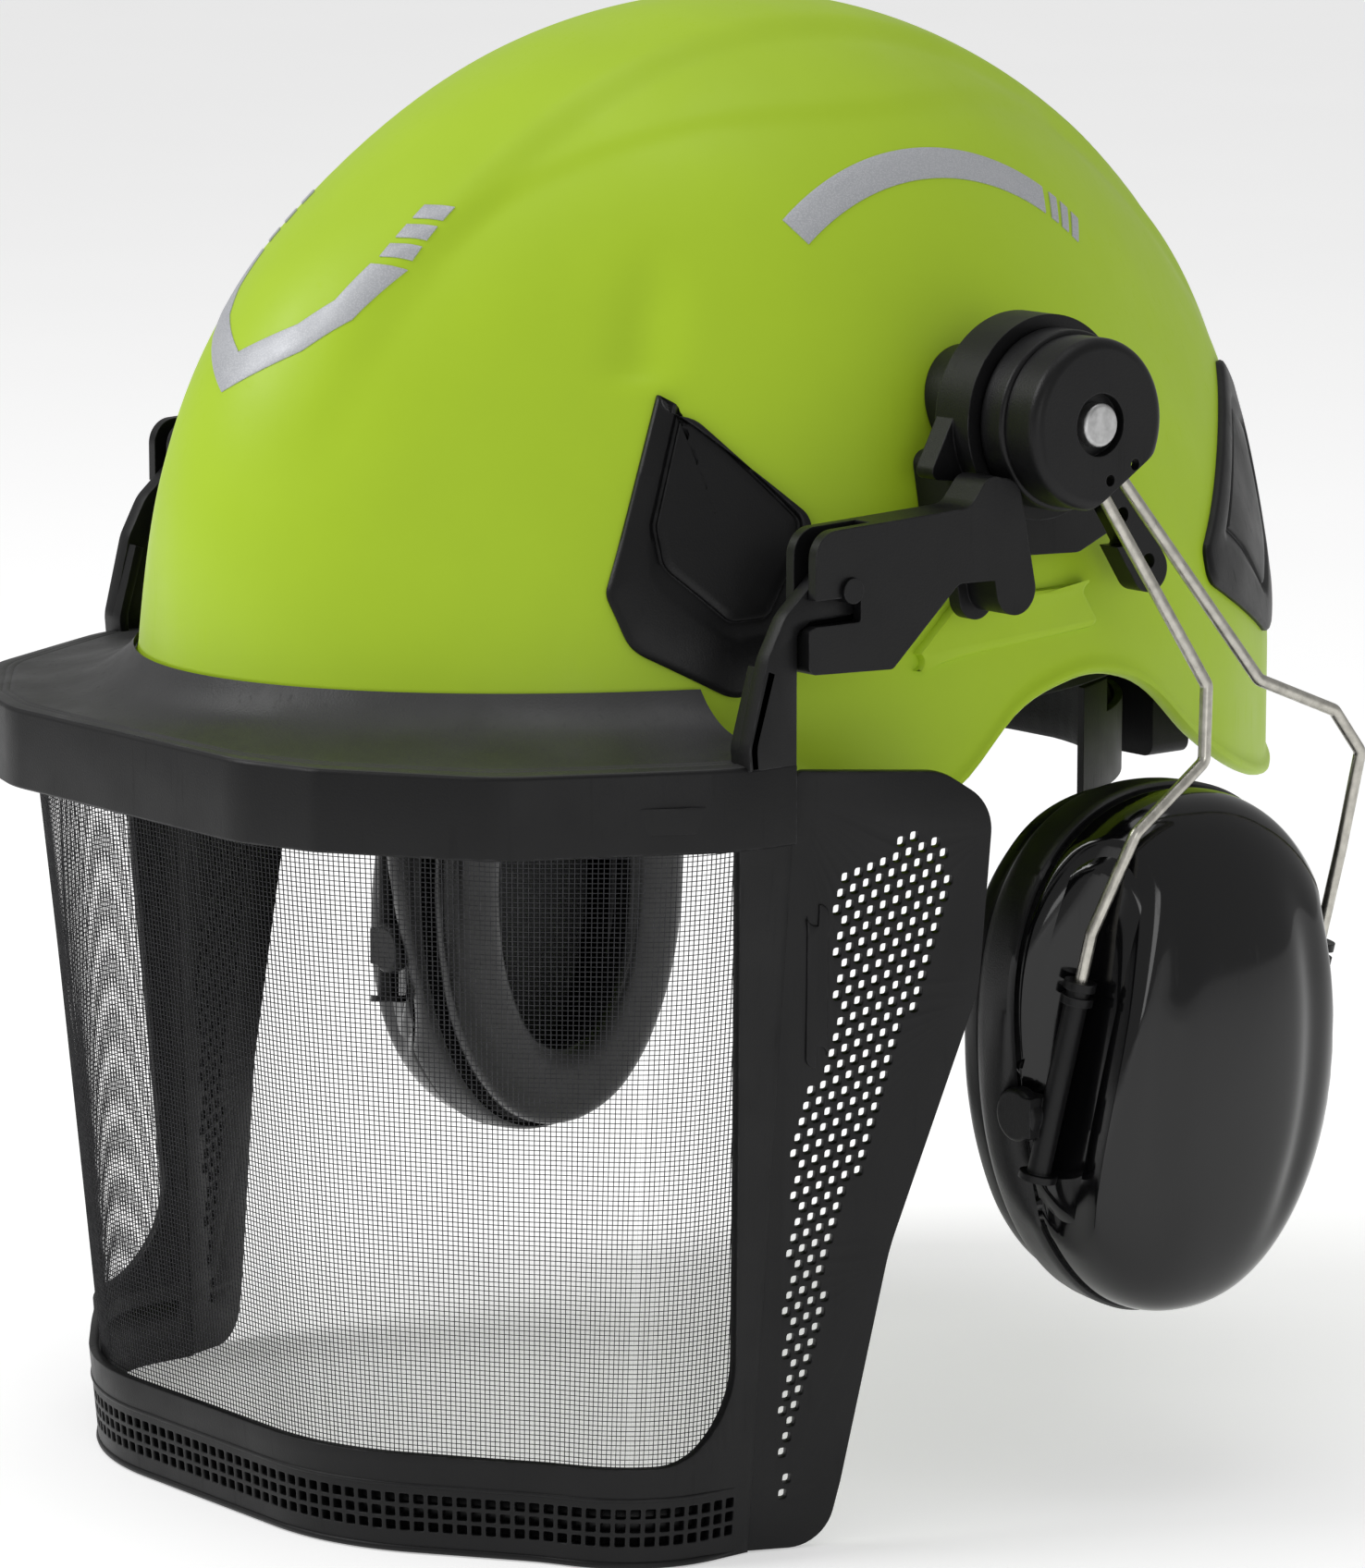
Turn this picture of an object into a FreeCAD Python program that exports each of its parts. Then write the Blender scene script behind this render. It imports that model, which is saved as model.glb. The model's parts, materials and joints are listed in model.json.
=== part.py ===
"""Forestry helmet: vented shell with harness, flip-up mesh visor with brim, and two folding ear muffs.

Frame: millimetres, +Z up, the wearer looks along -Y and the wearer's left is +X.
The origin is the middle of the head, on the line through the two ear-muff hubs.
Every sub-part on the left is built at +X; the right one is its mirror image.
"""
import math
import os

import FreeCAD, Part

V = FreeCAD.Vector

# ---------------------------------------------------------------- driving dimensions (mm)
# shell
SHELL_HALF_WIDTH = 105.2
SHELL_FRONT = 153.5            # from the shell's own centre to its front
SHELL_REAR = 145.5
SHELL_CENTRE_Y = 3.8
SHELL_BASE_Z = -72.0           # height of the widest ring
SHELL_HEIGHT = 156.9           # widest ring to crown
SHELL_SKIRT_Z = -112.0         # the walls run straight down to here before the edge is cut
SHELL_WALL = 2.8
SIDE_FULLNESS = -0.01          # below zero the wall leans in faster than an ellipsoid's
FRONT_FULLNESS = 0.08
REAR_FULLNESS = 0.077
FRONT_QUARTER_FULLNESS = -0.105    # at the quarters between side and front
REAR_QUARTER_FULLNESS = -0.083     # at the quarters between side and rear
CROWN_BAND_HALF = 27.0         # raised band along the crown
CROWN_BAND_RISE = 2.4
CROWN_BAND_BLEND = 9.0

# hub of the ear muff, on the X axis
HUB_RING_X = 116.0
HUB_CAP_X = 124.0
HUB_FACE_X = 134.0
BASE_RING_R = 23.0
MID_RING_R = 20.2
CAP_R = 19.2
RIVET_R = 3.0
RIVET_HEAD_R = 4.9
RUNNING = 0.05                 # radial clearance of a turning fit
GAP = 0.4                      # gap between neighbours that move

# visor hinge
ARM_IN_X = 116.0
ARM_OUT_X = 126.0
CHEEK = 2.5
HINGE_Y = -65.0
HINGE_Z = -31.6
STUD_R = 2.8

# brim and visor
RIM_TOP_Z = -68.0
RIM_BOTTOM_Z = -86.5
BRIM_WALL = 2.6
BRIM_CENTRE_Y = -20.0
VISOR_BOTTOM_Z = -248.5
VISOR_WALL = 2.4
MESH_THICK = 0.8
WING_TOP_Z = -71.0
VISOR_END_Y = -80.5            # the curved sheet ends here, a little in front of the fold
WING_FLARE = 20.0               # degrees outwards from straight back

# ear muff
WIRE_R = 1.45
SLEEVE_R = 2.7
CUP_CENTRE = V(121.0, 32.3, -147.0)
CUP_HALF_WIDTH = 44.0
CUP_HALF_HEIGHT = 61.5
CUP_YAW = -4.0                 # degrees about the vertical: rear edge outwards
CUP_BACK_X = 108.0
CUP_SEAM_X = 121.0
CUP_FACE_X = 150.0
CUSHION_X = 98.0
SLIDE = V(-0.16, -0.13, -1.0)  # direction in which the cup slides down its wires
SLIDE.normalize()
PIVOT_Z = -157.0
PIVOT_X = 119.0
FRONT_FOOT = V(127.0, -3.0, -145.0)    # on the front leg's straight end
REAR_FOOT = V(133.0, 75.0, -111.7)     # on the rear leg's straight end
WIRE_BEND_R = 2.6
BUTTON_R = 6.2
LEG_GROOVE_R = 6.3
BUTTON_POCKET_R = 7.2
CUP_TAPER = 0.10               # the upper end is wider by this share, the lower end narrower
CUP_SQUARENESS = 0.9           # below 1 the outline is fuller than an ellipse

# openings in the shell for the muff brackets
BLADE_SLOT_WIDE = 22.8
BLADE_SLOT_HIGH = 4.4
BLADE_SLOT_Y = -1.4
BLADE_SLOT_Z = -30.2

# vent covers and reflective film
COVER_RISE = 1.8
COVER_SUNK_RISE = 0.9
FILM_RISE = 0.35
ARC_CENTRE_Y = 8.7
ARC_CENTRE_Z = -18.9
ARC_OUTER_R = 74.5
ARC_INNER_R = 68.0
CHEVRON_ARM_LOW = 8.16         # height of the chevron's inner corner above its point

# size-adjusting ratchet at the nape
KNOB_Y = 121.7
KNOB_Z = -88.0
KNOB_R = 13.0
KNOB_LONG = 11.0
KNOB_GRIPS = 18
PINION_R = 4.0

# harness
BAND_HALF_X = 84.0
BAND_HALF_Y = 107.0
BAND_LOW_Z = -70.0
BAND_HIGH_Z = -42.0
BAND_WALL = 2.0
STRAP_ANGLES = (30, 90, 150)   # degrees round the head

SIDES = {"left": 1, "right": -1}
PARTS = {}
FORMS = {}


# ---------------------------------------------------------------- helpers
def add(name, shape):
    """Keep a finished sub-part under its node name."""
    PARTS[name] = shape


def add_pair(name, shape):
    """Keep a left-hand sub-part and its mirror image on the right."""
    add(name + "_left", shape)
    add(name + "_right", shape.mirror(V(0, 0, 0), V(1, 0, 0)))


def fuse(shapes):
    """Join a list of solids into one shape."""
    return shapes[0].fuse(shapes[1:]).removeSplitter()


def largest(shape):
    """The largest solid of a shape, without any crumbs a cut has left."""
    return max(shape.Solids, key=lambda solid: solid.Volume)


def corner_arc(before, corner, after, radius):
    """Return the start, middle and end of the arc that rounds a corner."""
    to_before = (before - corner).normalize()
    to_after = (after - corner).normalize()
    half = to_before.getAngle(to_after) / 2
    reach = radius / math.tan(half)
    bisector = (to_before + to_after).normalize()
    centre = corner + bisector * (radius / math.sin(half))
    return corner + to_before * reach, centre - bisector * radius, corner + to_after * reach


def rounded_edges(points, closed):
    """Edges through points given as (vector, radius); radius 0 leaves a sharp corner."""
    count = len(points)
    stations = []
    for i, (corner, radius) in enumerate(points):
        if radius and (closed or 0 < i < count - 1):
            before = points[i - 1][0]
            after = points[(i + 1) % count][0]
            stations.append(corner_arc(before, corner, after, radius))
        else:
            stations.append((corner, None, corner))
    edges = []
    for i, (start, middle, end) in enumerate(stations):
        if middle is not None:
            edges.append(Part.Arc(start, middle, end).toShape())
        if i < count - 1 or closed:
            following = stations[(i + 1) % count][0]
            if end.distanceToPoint(following) > 1e-6:
                edges.append(Part.LineSegment(end, following).toShape())
    return edges


def side_plate(outline, x_low, x_high):
    """Plate with a rounded outline of (y, z, radius) in the side view, from x_low to x_high."""
    points = [(V(x_low, y, z), r) for y, z, r in outline]
    face = Part.Face(Part.Wire(rounded_edges(points, True)))
    return face.extrude(V(x_high - x_low, 0, 0))


def plan_plate(outline, z_low, z_high):
    """Plate with a rounded outline of (x, y, radius) in the plan view."""
    points = [(V(x, y, z_low), r) for x, y, r in outline]
    face = Part.Face(Part.Wire(rounded_edges(points, True)))
    return face.extrude(V(0, 0, z_high - z_low))


def capsule(y0, z0, y1, z1, radius, x_low, x_high):
    """Long rounded tab between two centres in the side view."""
    ends = [Part.makeCylinder(radius, x_high - x_low, V(x_low, y, z), V(1, 0, 0))
            for y, z in ((y0, z0), (y1, z1))]
    along = V(0, y1 - y0, z1 - z0).normalize()
    across = V(0, -along.z, along.y) * radius
    corners = [V(x_low, y0, z0) + across, V(x_low, y1, z1) + across,
               V(x_low, y1, z1) - across, V(x_low, y0, z0) - across]
    bar = Part.Face(Part.makePolygon(corners + corners[:1])).extrude(V(x_high - x_low, 0, 0))
    return fuse([bar] + ends)


def x_cylinder(radius, x_low, x_high, y=0.0, z=0.0):
    """Cylinder along X."""
    return Part.makeCylinder(radius, x_high - x_low, V(x_low, y, z), V(1, 0, 0))


def tube_along(points, radius, bend):
    """Round rod through a list of points, each inner corner bent to one radius."""
    edges = rounded_edges([(p, bend) for p in points], False)
    path = Part.Wire(edges)
    section = Part.Wire(Part.makeCircle(radius, points[0], points[1] - points[0]))
    return path.makePipeShell([section], True, False)


def smoothstep(value):
    """0 below 0, 1 above 1, smooth between."""
    clamped = max(0.0, min(1.0, value))
    return clamped * clamped * (3 - 2 * clamped)


# ---------------------------------------------------------------- shell form
def shell_point(theta, level, grow):
    """Point on the shell, grown outwards by grow.

    theta runs round the plan from +X towards -Y; level is 0 at the widest ring and 1 at the crown.
    """
    cos_t = math.cos(theta)
    sin_t = math.sin(theta)
    length = SHELL_FRONT if sin_t > 0 else SHELL_REAR
    end_fullness = FRONT_FULLNESS if sin_t > 0 else REAR_FULLNESS
    fullness = SIDE_FULLNESS * cos_t ** 2 + end_fullness * sin_t ** 2
    quarter_fullness = FRONT_QUARTER_FULLNESS if sin_t > 0 else REAR_QUARTER_FULLNESS
    fullness += quarter_fullness * math.sin(2 * theta) ** 2
    reach = math.sqrt(1 - level ** 2) * (1 + fullness * math.sin(math.pi * level) ** 2)
    x = (SHELL_HALF_WIDTH + grow) * cos_t * reach
    y = SHELL_CENTRE_Y - (length + grow) * sin_t * reach
    z = SHELL_BASE_Z + (SHELL_HEIGHT + grow) * level
    lift = CROWN_BAND_RISE * smoothstep((CROWN_BAND_HALF - abs(x)) / CROWN_BAND_BLEND + 0.5)
    lift *= smoothstep((level - 0.35) / 0.3)
    normal = V(x / SHELL_HALF_WIDTH ** 2, (y - SHELL_CENTRE_Y) / length ** 2,
               level / SHELL_HEIGHT).normalize()
    return V(x, y, z) + normal * lift


def shell_row(level, drop, grow):
    """Points round the shell at one level, lowered by drop, closed at the middle of the back."""
    count = 48
    turns = [2 * math.pi * i / count - math.pi / 2 for i in range(count)]
    row = [shell_point(turn, level, grow) - V(0, 0, drop) for turn in turns]
    return row + row[:1]


def shell_form(grow):
    """Solid with the shell's outer form, grown by grow."""
    if grow in FORMS:
        return FORMS[grow]
    skirt = SHELL_BASE_Z - SHELL_SKIRT_Z
    rows = [shell_row(0.0, skirt * share, grow) for share in (1.0, 0.67, 0.33)]
    tilts = (0, 7, 14, 21, 28, 35, 42, 49, 56, 62, 68, 73, 78, 82, 85.5, 88)
    rows += [shell_row(math.sin(math.radians(tilt)), 0.0, grow) for tilt in tilts]
    crown_z = rows[-1][0].z
    rows[-1] = [V(p.x, p.y, crown_z) for p in rows[-1]]
    surface = Part.BSplineSurface()
    surface.interpolate(rows)
    wall = surface.toShape()
    caps = [Part.Face(Part.Wire(edge)) for edge in wall.Edges if edge.isClosed()]
    skin = Part.Compound([wall] + caps)
    skin.sewShape(0.01)
    solid = Part.Solid(skin.Shells[0])
    solid.fix(0.001, 0.001, 0.001)
    FORMS[grow] = solid
    return solid


def lower_edge_cutter():
    """Everything above the shell's lower edge, seen from the side."""
    edge = [(-175, -62), (-120, -62), (-70, -70), (-38, -88), (-16, -84), (2, -68), (18, -62.5),
            (31, -62.3), (46, -67.4), (66, -81.7), (89, -93), (112, -99.3), (130, -99), (175, -92)]
    curve = Part.BSplineCurve()
    curve.interpolate([V(-130, y, z) for y, z in edge])
    top = [V(-130, 175, -92), V(-130, 175, 120), V(-130, -175, 120), V(-130, -175, -62)]
    wire = Part.Wire([curve.toShape()] + Part.makePolygon(top).Edges)
    return Part.Face(wire).extrude(V(260, 0, 0))


FRONT_VENT = [(-69.5, 10, 3), (-47, -21, 5), (-46, -48, 6), (-69, -60, 7), (-89.5, -48, 7), (-92, -36, 5)]
FRONT_VENT_INNER = [(-66.5, 4, 3), (-52, -26, 4), (-58, -42, 4), (-69, -43.5, 4), (-80.5, -32, 4),
                    (-80, -22, 4)]
REAR_VENT = [(122, -2, 4), (76, -40, 4), (76, -47.5, 5), (114, -66, 6), (134, -48, 6), (137, -14, 6)]
REAR_VENT_INNER = [(119, -14, 3), (88, -41, 3), (112, -53, 3), (125, -42, 3), (127, -20, 3)]


def make_shell():
    """Moulded shell: raised crown band, arched ear cut-outs, vent openings and bracket slots."""
    shell = shell_form(0.0).cut(shell_form(-SHELL_WALL)).common(lower_edge_cutter())
    for outline in (FRONT_VENT_INNER, REAR_VENT_INNER):
        opening = side_plate(outline, 40, 125)
        shell = shell.cut([opening, opening.mirror(V(0, 0, 0), V(1, 0, 0))])
    socket = side_plate([(-34, -57, 2), (-14, -41, 2), (27, -41, 2), (27, -51, 2), (-12, -54, 4)], 85, 104.5)
    socket = socket.cut(shell_form(-1.0))
    shell = fuse([shell, socket, socket.mirror(V(0, 0, 0), V(1, 0, 0))])
    blade_slot = Part.makeBox(30, BLADE_SLOT_WIDE, BLADE_SLOT_HIGH, V(80, BLADE_SLOT_Y, BLADE_SLOT_Z))
    return shell.cut([blade_slot, blade_slot.mirror(V(0, 0, 0), V(1, 0, 0))])


def make_vent_cover(outline, inner, slots):
    """Plastic vent cover that lies on the shell, with a sunk middle and air slots."""
    cover = side_plate(outline, 40, 125).common(shell_form(COVER_RISE)).cut(shell_form(0.0))
    sunk = side_plate(inner, 40, 125).cut(shell_form(COVER_SUNK_RISE))
    return cover.cut([sunk] + [side_plate(slot, 40, 125) for slot in slots])


def make_sticker(outlines, direction):
    """Thin reflective film on the shell, one patch for each outline seen along a direction."""
    patches = []
    for outline in outlines:
        face = Part.Face(Part.makePolygon(outline + outline[:1]))
        patches.append(face.extrude(direction).common(shell_form(FILM_RISE)).cut(shell_form(0.0)))
    return Part.makeCompound([solid for patch in patches for solid in patch.Solids])


def band_patch(start, end, width):
    """Four corners of a straight stroke in the front view (x, z), drawn in front of the shell."""
    along = V(end[0] - start[0], 0, end[1] - start[1]).normalize()
    across = V(-along.z, 0, along.x) * (width / 2)
    a = V(start[0], -200, start[1])
    b = V(end[0], -200, end[1])
    return [a + across, b + across, b - across, a - across]


def chevron_outlines():
    """V of two strokes with three short dashes above each arm, in the front view."""
    stroke = [(0, 5), (17, 14.5), (23.5, 21), (26.5, 31.5), (20.2, 31.8), (18.2, 24.5), (13, 19.5),
              (0, 5 + CHEVRON_ARM_LOW)]
    outlines = []
    for side in (1, -1):
        outlines.append([V(side * x, -200, z) for x, z in stroke])
        for step in range(3):
            height = 34.6 + 3.9 * step
            outlines.append(band_patch((side * 20.9, height), (side * 26.3, height), 2.7))
    return outlines


def ring_piece(low, high):
    """Piece of the side stripe between two angles, in degrees, as one flat outline."""
    steps = 8 if high - low > 10 else 1
    angles = [math.radians(low + (high - low) * i / steps) for i in range(steps + 1)]
    centre = V(40, ARC_CENTRE_Y, ARC_CENTRE_Z)
    spokes = [V(0, math.cos(angle), math.sin(angle)) for angle in angles]
    far = [centre + spoke * ARC_OUTER_R for spoke in spokes]
    near = [centre + spoke * ARC_INNER_R for spoke in spokes]
    return far + near[::-1]


def arc_outlines():
    """Curved side stripe, then three thin dashes below its rear end, in the side view."""
    outlines = [ring_piece(58.5, 125)]
    for step in range(3):
        outlines.append(ring_piece(54.6 - 3.2 * step, 56.4 - 3.2 * step))
    return outlines


# ---------------------------------------------------------------- harness
def ellipse_band(half_x, half_y, wall, z_low, z_high):
    """Upright elliptical ring; half_x and half_y are its inner half axes."""
    rings = []
    for extra in (wall, 0):
        curve = Part.Ellipse(V(0, 0, z_low), half_y + extra, half_x + extra)
        curve.rotate(FreeCAD.Placement(V(0, 0, 0), V(0, 0, 1), 90))
        rings.append(Part.Face(Part.Wire(curve.toShape())).extrude(V(0, 0, z_high - z_low)))
    return rings[0].cut(rings[1])


def make_headband():
    """Stiff band round the head."""
    return ellipse_band(BAND_HALF_X, BAND_HALF_Y, BAND_WALL, BAND_LOW_Z, BAND_HIGH_Z)


def make_sweatband():
    """Soft pad inside the front of the headband."""
    pad = ellipse_band(BAND_HALF_X - 4.4, BAND_HALF_Y - 4.4, 4.0, BAND_LOW_Z - 2, BAND_HIGH_Z + 1)
    return pad.common(Part.makeBox(200, 110, 60, V(-100, -125, -90)))


def ellipsoid(half_x, half_y, height, base_z):
    """Upper half of an ellipsoid standing on base_z."""
    matrix = FreeCAD.Matrix()
    matrix.scale(half_x / 100, half_y / 100, height / 100)
    dome = Part.makeSphere(100, V(0, 0, 0), V(0, 0, 1), 0, 90, 360).transformGeometry(matrix)
    dome.translate(V(0, 0, base_z))
    return dome


def make_crown_straps():
    """Three webbing straps that cross over the head, stitched together at the crown."""
    half_x = BAND_HALF_X - 0.2
    half_y = BAND_HALF_Y - 0.2
    height = 100.0
    skin = ellipsoid(half_x, half_y, height, BAND_HIGH_Z - 8).cut(
        ellipsoid(half_x - 1.6, half_y - 1.6, height - 1.6, BAND_HIGH_Z - 8))
    skin = skin.common(Part.makeBox(300, 300, 200, V(-150, -150, BAND_HIGH_Z + 1.2)))
    straps = []
    for angle in STRAP_ANGLES:
        slab = Part.makeBox(260, 19, 200, V(-130, -9.5, -60))
        slab.rotate(V(0, 0, 0), V(0, 0, 1), angle)
        straps.append(skin.common(slab))
    return fuse(straps)


def make_hanger_clips():
    """Six clips that hang the straps and the headband in the shell."""
    clips = []
    for angle in STRAP_ANGLES + tuple(turned + 180 for turned in STRAP_ANGLES):
        turn = math.radians(angle)
        edge_x = (BAND_HALF_X + BAND_WALL) * math.cos(turn)
        edge_y = (BAND_HALF_Y + BAND_WALL) * math.sin(turn)
        clip = Part.makeBox(70, 15, 9, V(0, -7.5, BAND_HIGH_Z - 10))
        clip.rotate(V(0, 0, 0), V(0, 0, 1), math.degrees(math.atan2(edge_y, edge_x)))
        clip.translate(V(edge_x * 0.9, edge_y * 0.9, 0))
        clips.append(clip)
    outside = ellipse_band(BAND_HALF_X + BAND_WALL + 0.05, BAND_HALF_Y + BAND_WALL + 0.05, 90,
                           BAND_LOW_Z, BAND_HIGH_Z)
    inside = shell_form(-SHELL_WALL - 0.05)
    trimmed = [clip.common(inside).common(outside) for clip in clips]
    return Part.makeCompound([solid for clip in trimmed for solid in clip.Solids])


def make_nape_cradle():
    """Lower band that takes the back of the head, with arms up beside the headband."""
    band = ellipse_band(BAND_HALF_X - 2.6, BAND_HALF_Y - 2.6, 2.0, -98, -72)
    rear = Part.makeBox(200, 80, 18, V(-100, 60, -98))
    arms = Part.makeBox(200, 14, 26, V(-100, 52, -98))
    return band.common(fuse([rear, arms]))


def make_nape_pad():
    """Soft pad inside the nape cradle."""
    pad = ellipse_band(BAND_HALF_X - 7.0, BAND_HALF_Y - 7.0, 4.0, -98, -78)
    return pad.common(Part.makeBox(100, 60, 60, V(-50, 70, -110)))


def make_ratchet_housing():
    """Box behind the nape cradle that holds the size-adjusting ratchet."""
    box = Part.makeBox(70, 12, 24, V(-35, 109.2, -100))
    box = box.makeFillet(3, [e for e in box.Edges if abs(e.tangentAt(e.FirstParameter).y) > 0.9])
    shaped = box.cut(ellipse_band(60, BAND_HALF_Y - 28, 30.0, -110, -70))
    bore = Part.makeCylinder(PINION_R + RUNNING, 30, V(0, 100, KNOB_Z), V(0, 1, 0))
    return shaped.cut(bore)


def make_ratchet_pinion():
    """Toothed pinion and shaft of the ratchet, turned by the knob."""
    return Part.makeCylinder(PINION_R, 13.6, V(0, 110.0, KNOB_Z), V(0, 1, 0))


def make_ratchet_knob():
    """Knurled knob at the nape."""
    knob = Part.makeCylinder(KNOB_R, KNOB_LONG, V(0, KNOB_Y, KNOB_Z), V(0, 1, 0))
    knob = knob.makeFillet(1.5, [e for e in knob.Edges if isinstance(e.Curve, Part.Circle)])
    grips = []
    for i in range(KNOB_GRIPS):
        turn = 2 * math.pi * i / KNOB_GRIPS
        centre = V((KNOB_R + 0.6) * math.cos(turn), KNOB_Y - 0.7, KNOB_Z + (KNOB_R + 0.6) * math.sin(turn))
        grips.append(Part.makeCylinder(1.3, 13, centre, V(0, 1, 0)))
    socket = Part.makeCylinder(PINION_R, 2.0, V(0, KNOB_Y - 0.1, KNOB_Z), V(0, 1, 0))
    return knob.cut(grips + [socket])


# ---------------------------------------------------------------- bracket and hub
def make_adapter():
    """Bracket on the shell: hub seat, lower body that plugs into the slot, and a strut with three holes."""
    seat = x_cylinder(BASE_RING_R, HUB_RING_X - 11, HUB_RING_X)
    stem = x_cylinder(14, 80, HUB_RING_X - 11)
    body = side_plate([(-20, -8, 4), (-21, -26, 5), (-8, -31, 5), (14, -32, 5), (26, -27, 5), (24, -6, 5)],
                      84, 112)
    strut = capsule(16, -8, 36, -38, 5.2, 106, 112)
    fin = side_plate([(-30, -12, 2), (-16, 14, 3), (-6, 10, 2), (-12, -14, 2)], 105.5, 111)
    bracket = fuse([seat, stem, body, strut, fin])
    bracket = bracket.cut(shell_form(0.5))
    window = side_plate([(16, -19, 0.6), (20.5, -19, 0.6), (29.5, -32, 0.6), (25, -32, 0.6)], 104, 113)
    holes = [x_cylinder(1.9, 104, 113, 19 + 8.2 * i, -13.5 - 11.3 * i) for i in range(3)]
    bore = x_cylinder(RIVET_R + RUNNING, 70, 140)
    bracket = bracket.cut(holes + [bore])
    blade = Part.makeBox(17, 22, 3.6, V(92, -1, BLADE_SLOT_Z + 0.4))
    return fuse([bracket.cut(window), blade])


def make_visor_arm():
    """Forked arm in front of the hub: two cheeks with a hooked notch for the visor's stud."""
    outline = [(-75, -18.3, 6), (-31, -16.5, 4), (-26, -10.5, 4), (-21, -10, 4), (-15, -24, 0),
               (-16.5, -33.5, 2), (-34, -33, 3), (-53, -50, 2), (-76.8, -49, 2), (-76.8, -39.3, 1),
               (-75, -38.8, 0)]
    arm = side_plate(outline, ARM_IN_X, ARM_OUT_X)
    tab = capsule(-21.4, -16.4, -17.2, -36, 5.6, ARM_IN_X, ARM_OUT_X)
    backing = capsule(-23.4, -20, -20, -38.5, 5.0, 112.4, ARM_IN_X)
    arm = fuse([arm, tab, backing]).cut(x_cylinder(MID_RING_R + GAP, ARM_IN_X - 0.1, 140))
    gap_outline = [(-90, 0, 0), (-57.6, 0, 0), (-57.6, -40.6, 0), (-90, -40.6, 0)]
    lower_gap = [(-73.2, -38, 0), (-57.6, -38, 0), (-57.6, -47, 0), (-73.2, -47, 0)]
    fork = [side_plate(shape, ARM_IN_X + CHEEK, ARM_OUT_X - CHEEK) for shape in (gap_outline, lower_gap)]
    notch = side_plate([(-90, -33, 0), (-65, -33, 0), (-62.2, -31.6, 0), (-62.2, -38.7, 0.8), (-90, -38.7, 0)],
                       ARM_OUT_X - CHEEK - 0.1, 130)
    bore = x_cylinder(STUD_R + RUNNING, 110, 130, HINGE_Y, HINGE_Z)
    return arm.cut(fork + [notch, bore])


def make_rivet():
    """Rivet that holds the muff hub on the bracket."""
    shank = x_cylinder(RIVET_R, 98, 131.5)
    head = x_cylinder(RIVET_HEAD_R, 131.5, 134.6)
    head = head.makeFillet(0.9, [e for e in head.Edges if e.CenterOfMass.x > 134])
    return fuse([shank, head])


def make_hub_ring():
    """Friction ring between the bracket and the cap; it turns with the muff."""
    ring = x_cylinder(MID_RING_R, HUB_RING_X + GAP, HUB_CAP_X)
    ring = ring.makeFillet(1.0, [e for e in ring.Edges if isinstance(e.Curve, Part.Circle)])
    return ring.cut(x_cylinder(RIVET_R + RUNNING, 100, 140))


def wire_points():
    """Corner points of the bent muff wire, from the front leg's lower end to the rear leg's."""
    front = [FRONT_FOOT + SLIDE * 26, FRONT_FOOT - SLIDE * 31, V(137, 9.2, -92.2), V(139, 28.0, -77.6),
             V(138, 29.4, -60.5), V(129, 4.0, -14.6), V(129, 4.0, -7.6)]
    rear = [V(129, 11.0, -7.6), V(129, 11.0, -13.4), V(138, 45.6, -61), V(138, 69.5, -70.5),
            V(138, 78.0, -81), REAR_FOOT - SLIDE * 8, REAR_FOOT + SLIDE * 60]
    return front, rear


def make_hub_cap():
    """Domed cap with a cut-off lower rear edge, a rivet recess and a pocket for the wire's crossbar."""
    cap = x_cylinder(CAP_R, HUB_CAP_X, HUB_FACE_X)
    cap = cap.makeFillet(2.6, [e for e in cap.Edges if e.CenterOfMass.x > HUB_FACE_X - 0.1])
    flat = Part.makeBox(40, 40, 40, V(115, -20, -40 - 15.2))
    flat.rotate(V(0, 0, 0), V(1, 0, 0), 32)
    recess = x_cylinder(7.0, 131.5, 140).fuse(x_cylinder(RIVET_R + RUNNING, 100, 140))
    pocket = side_plate([(1.9, -5.6, 1.5), (13.1, -5.6, 1.5), (13.1, -9.8, 0), (1.9, -9.8, 0)], 126.6, 131.4)
    slots = []
    for y in (4.0, 11.0):
        slot = [(y - 2.1, -5.6, 1), (y + 2.1, -5.6, 1), (y + 2.9, -26, 0), (y - 2.5, -26, 0)]
        slots.append(side_plate(slot, 122, 131.4))
    keys = [x_cylinder(1.3, 131.0, 136, y, z) for y, z in ((3.2, -12.6), (10.6, -9.6))]
    cap = cap.cut([flat, recess])
    return cap.cut([pocket] + slots + keys)


def make_wire():
    """One steel wire: crossbar in the hub cap and two bent legs down to the cup."""
    front, rear = wire_points()
    return tube_along(front + rear, WIRE_R, WIRE_BEND_R)


def sleeve_line():
    """Centre of each sleeve at the height of the cup's pivot, front and rear."""
    return [foot + SLIDE * ((PIVOT_Z - foot.z) / SLIDE.z) for foot in (FRONT_FOOT, REAR_FOOT)]


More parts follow.
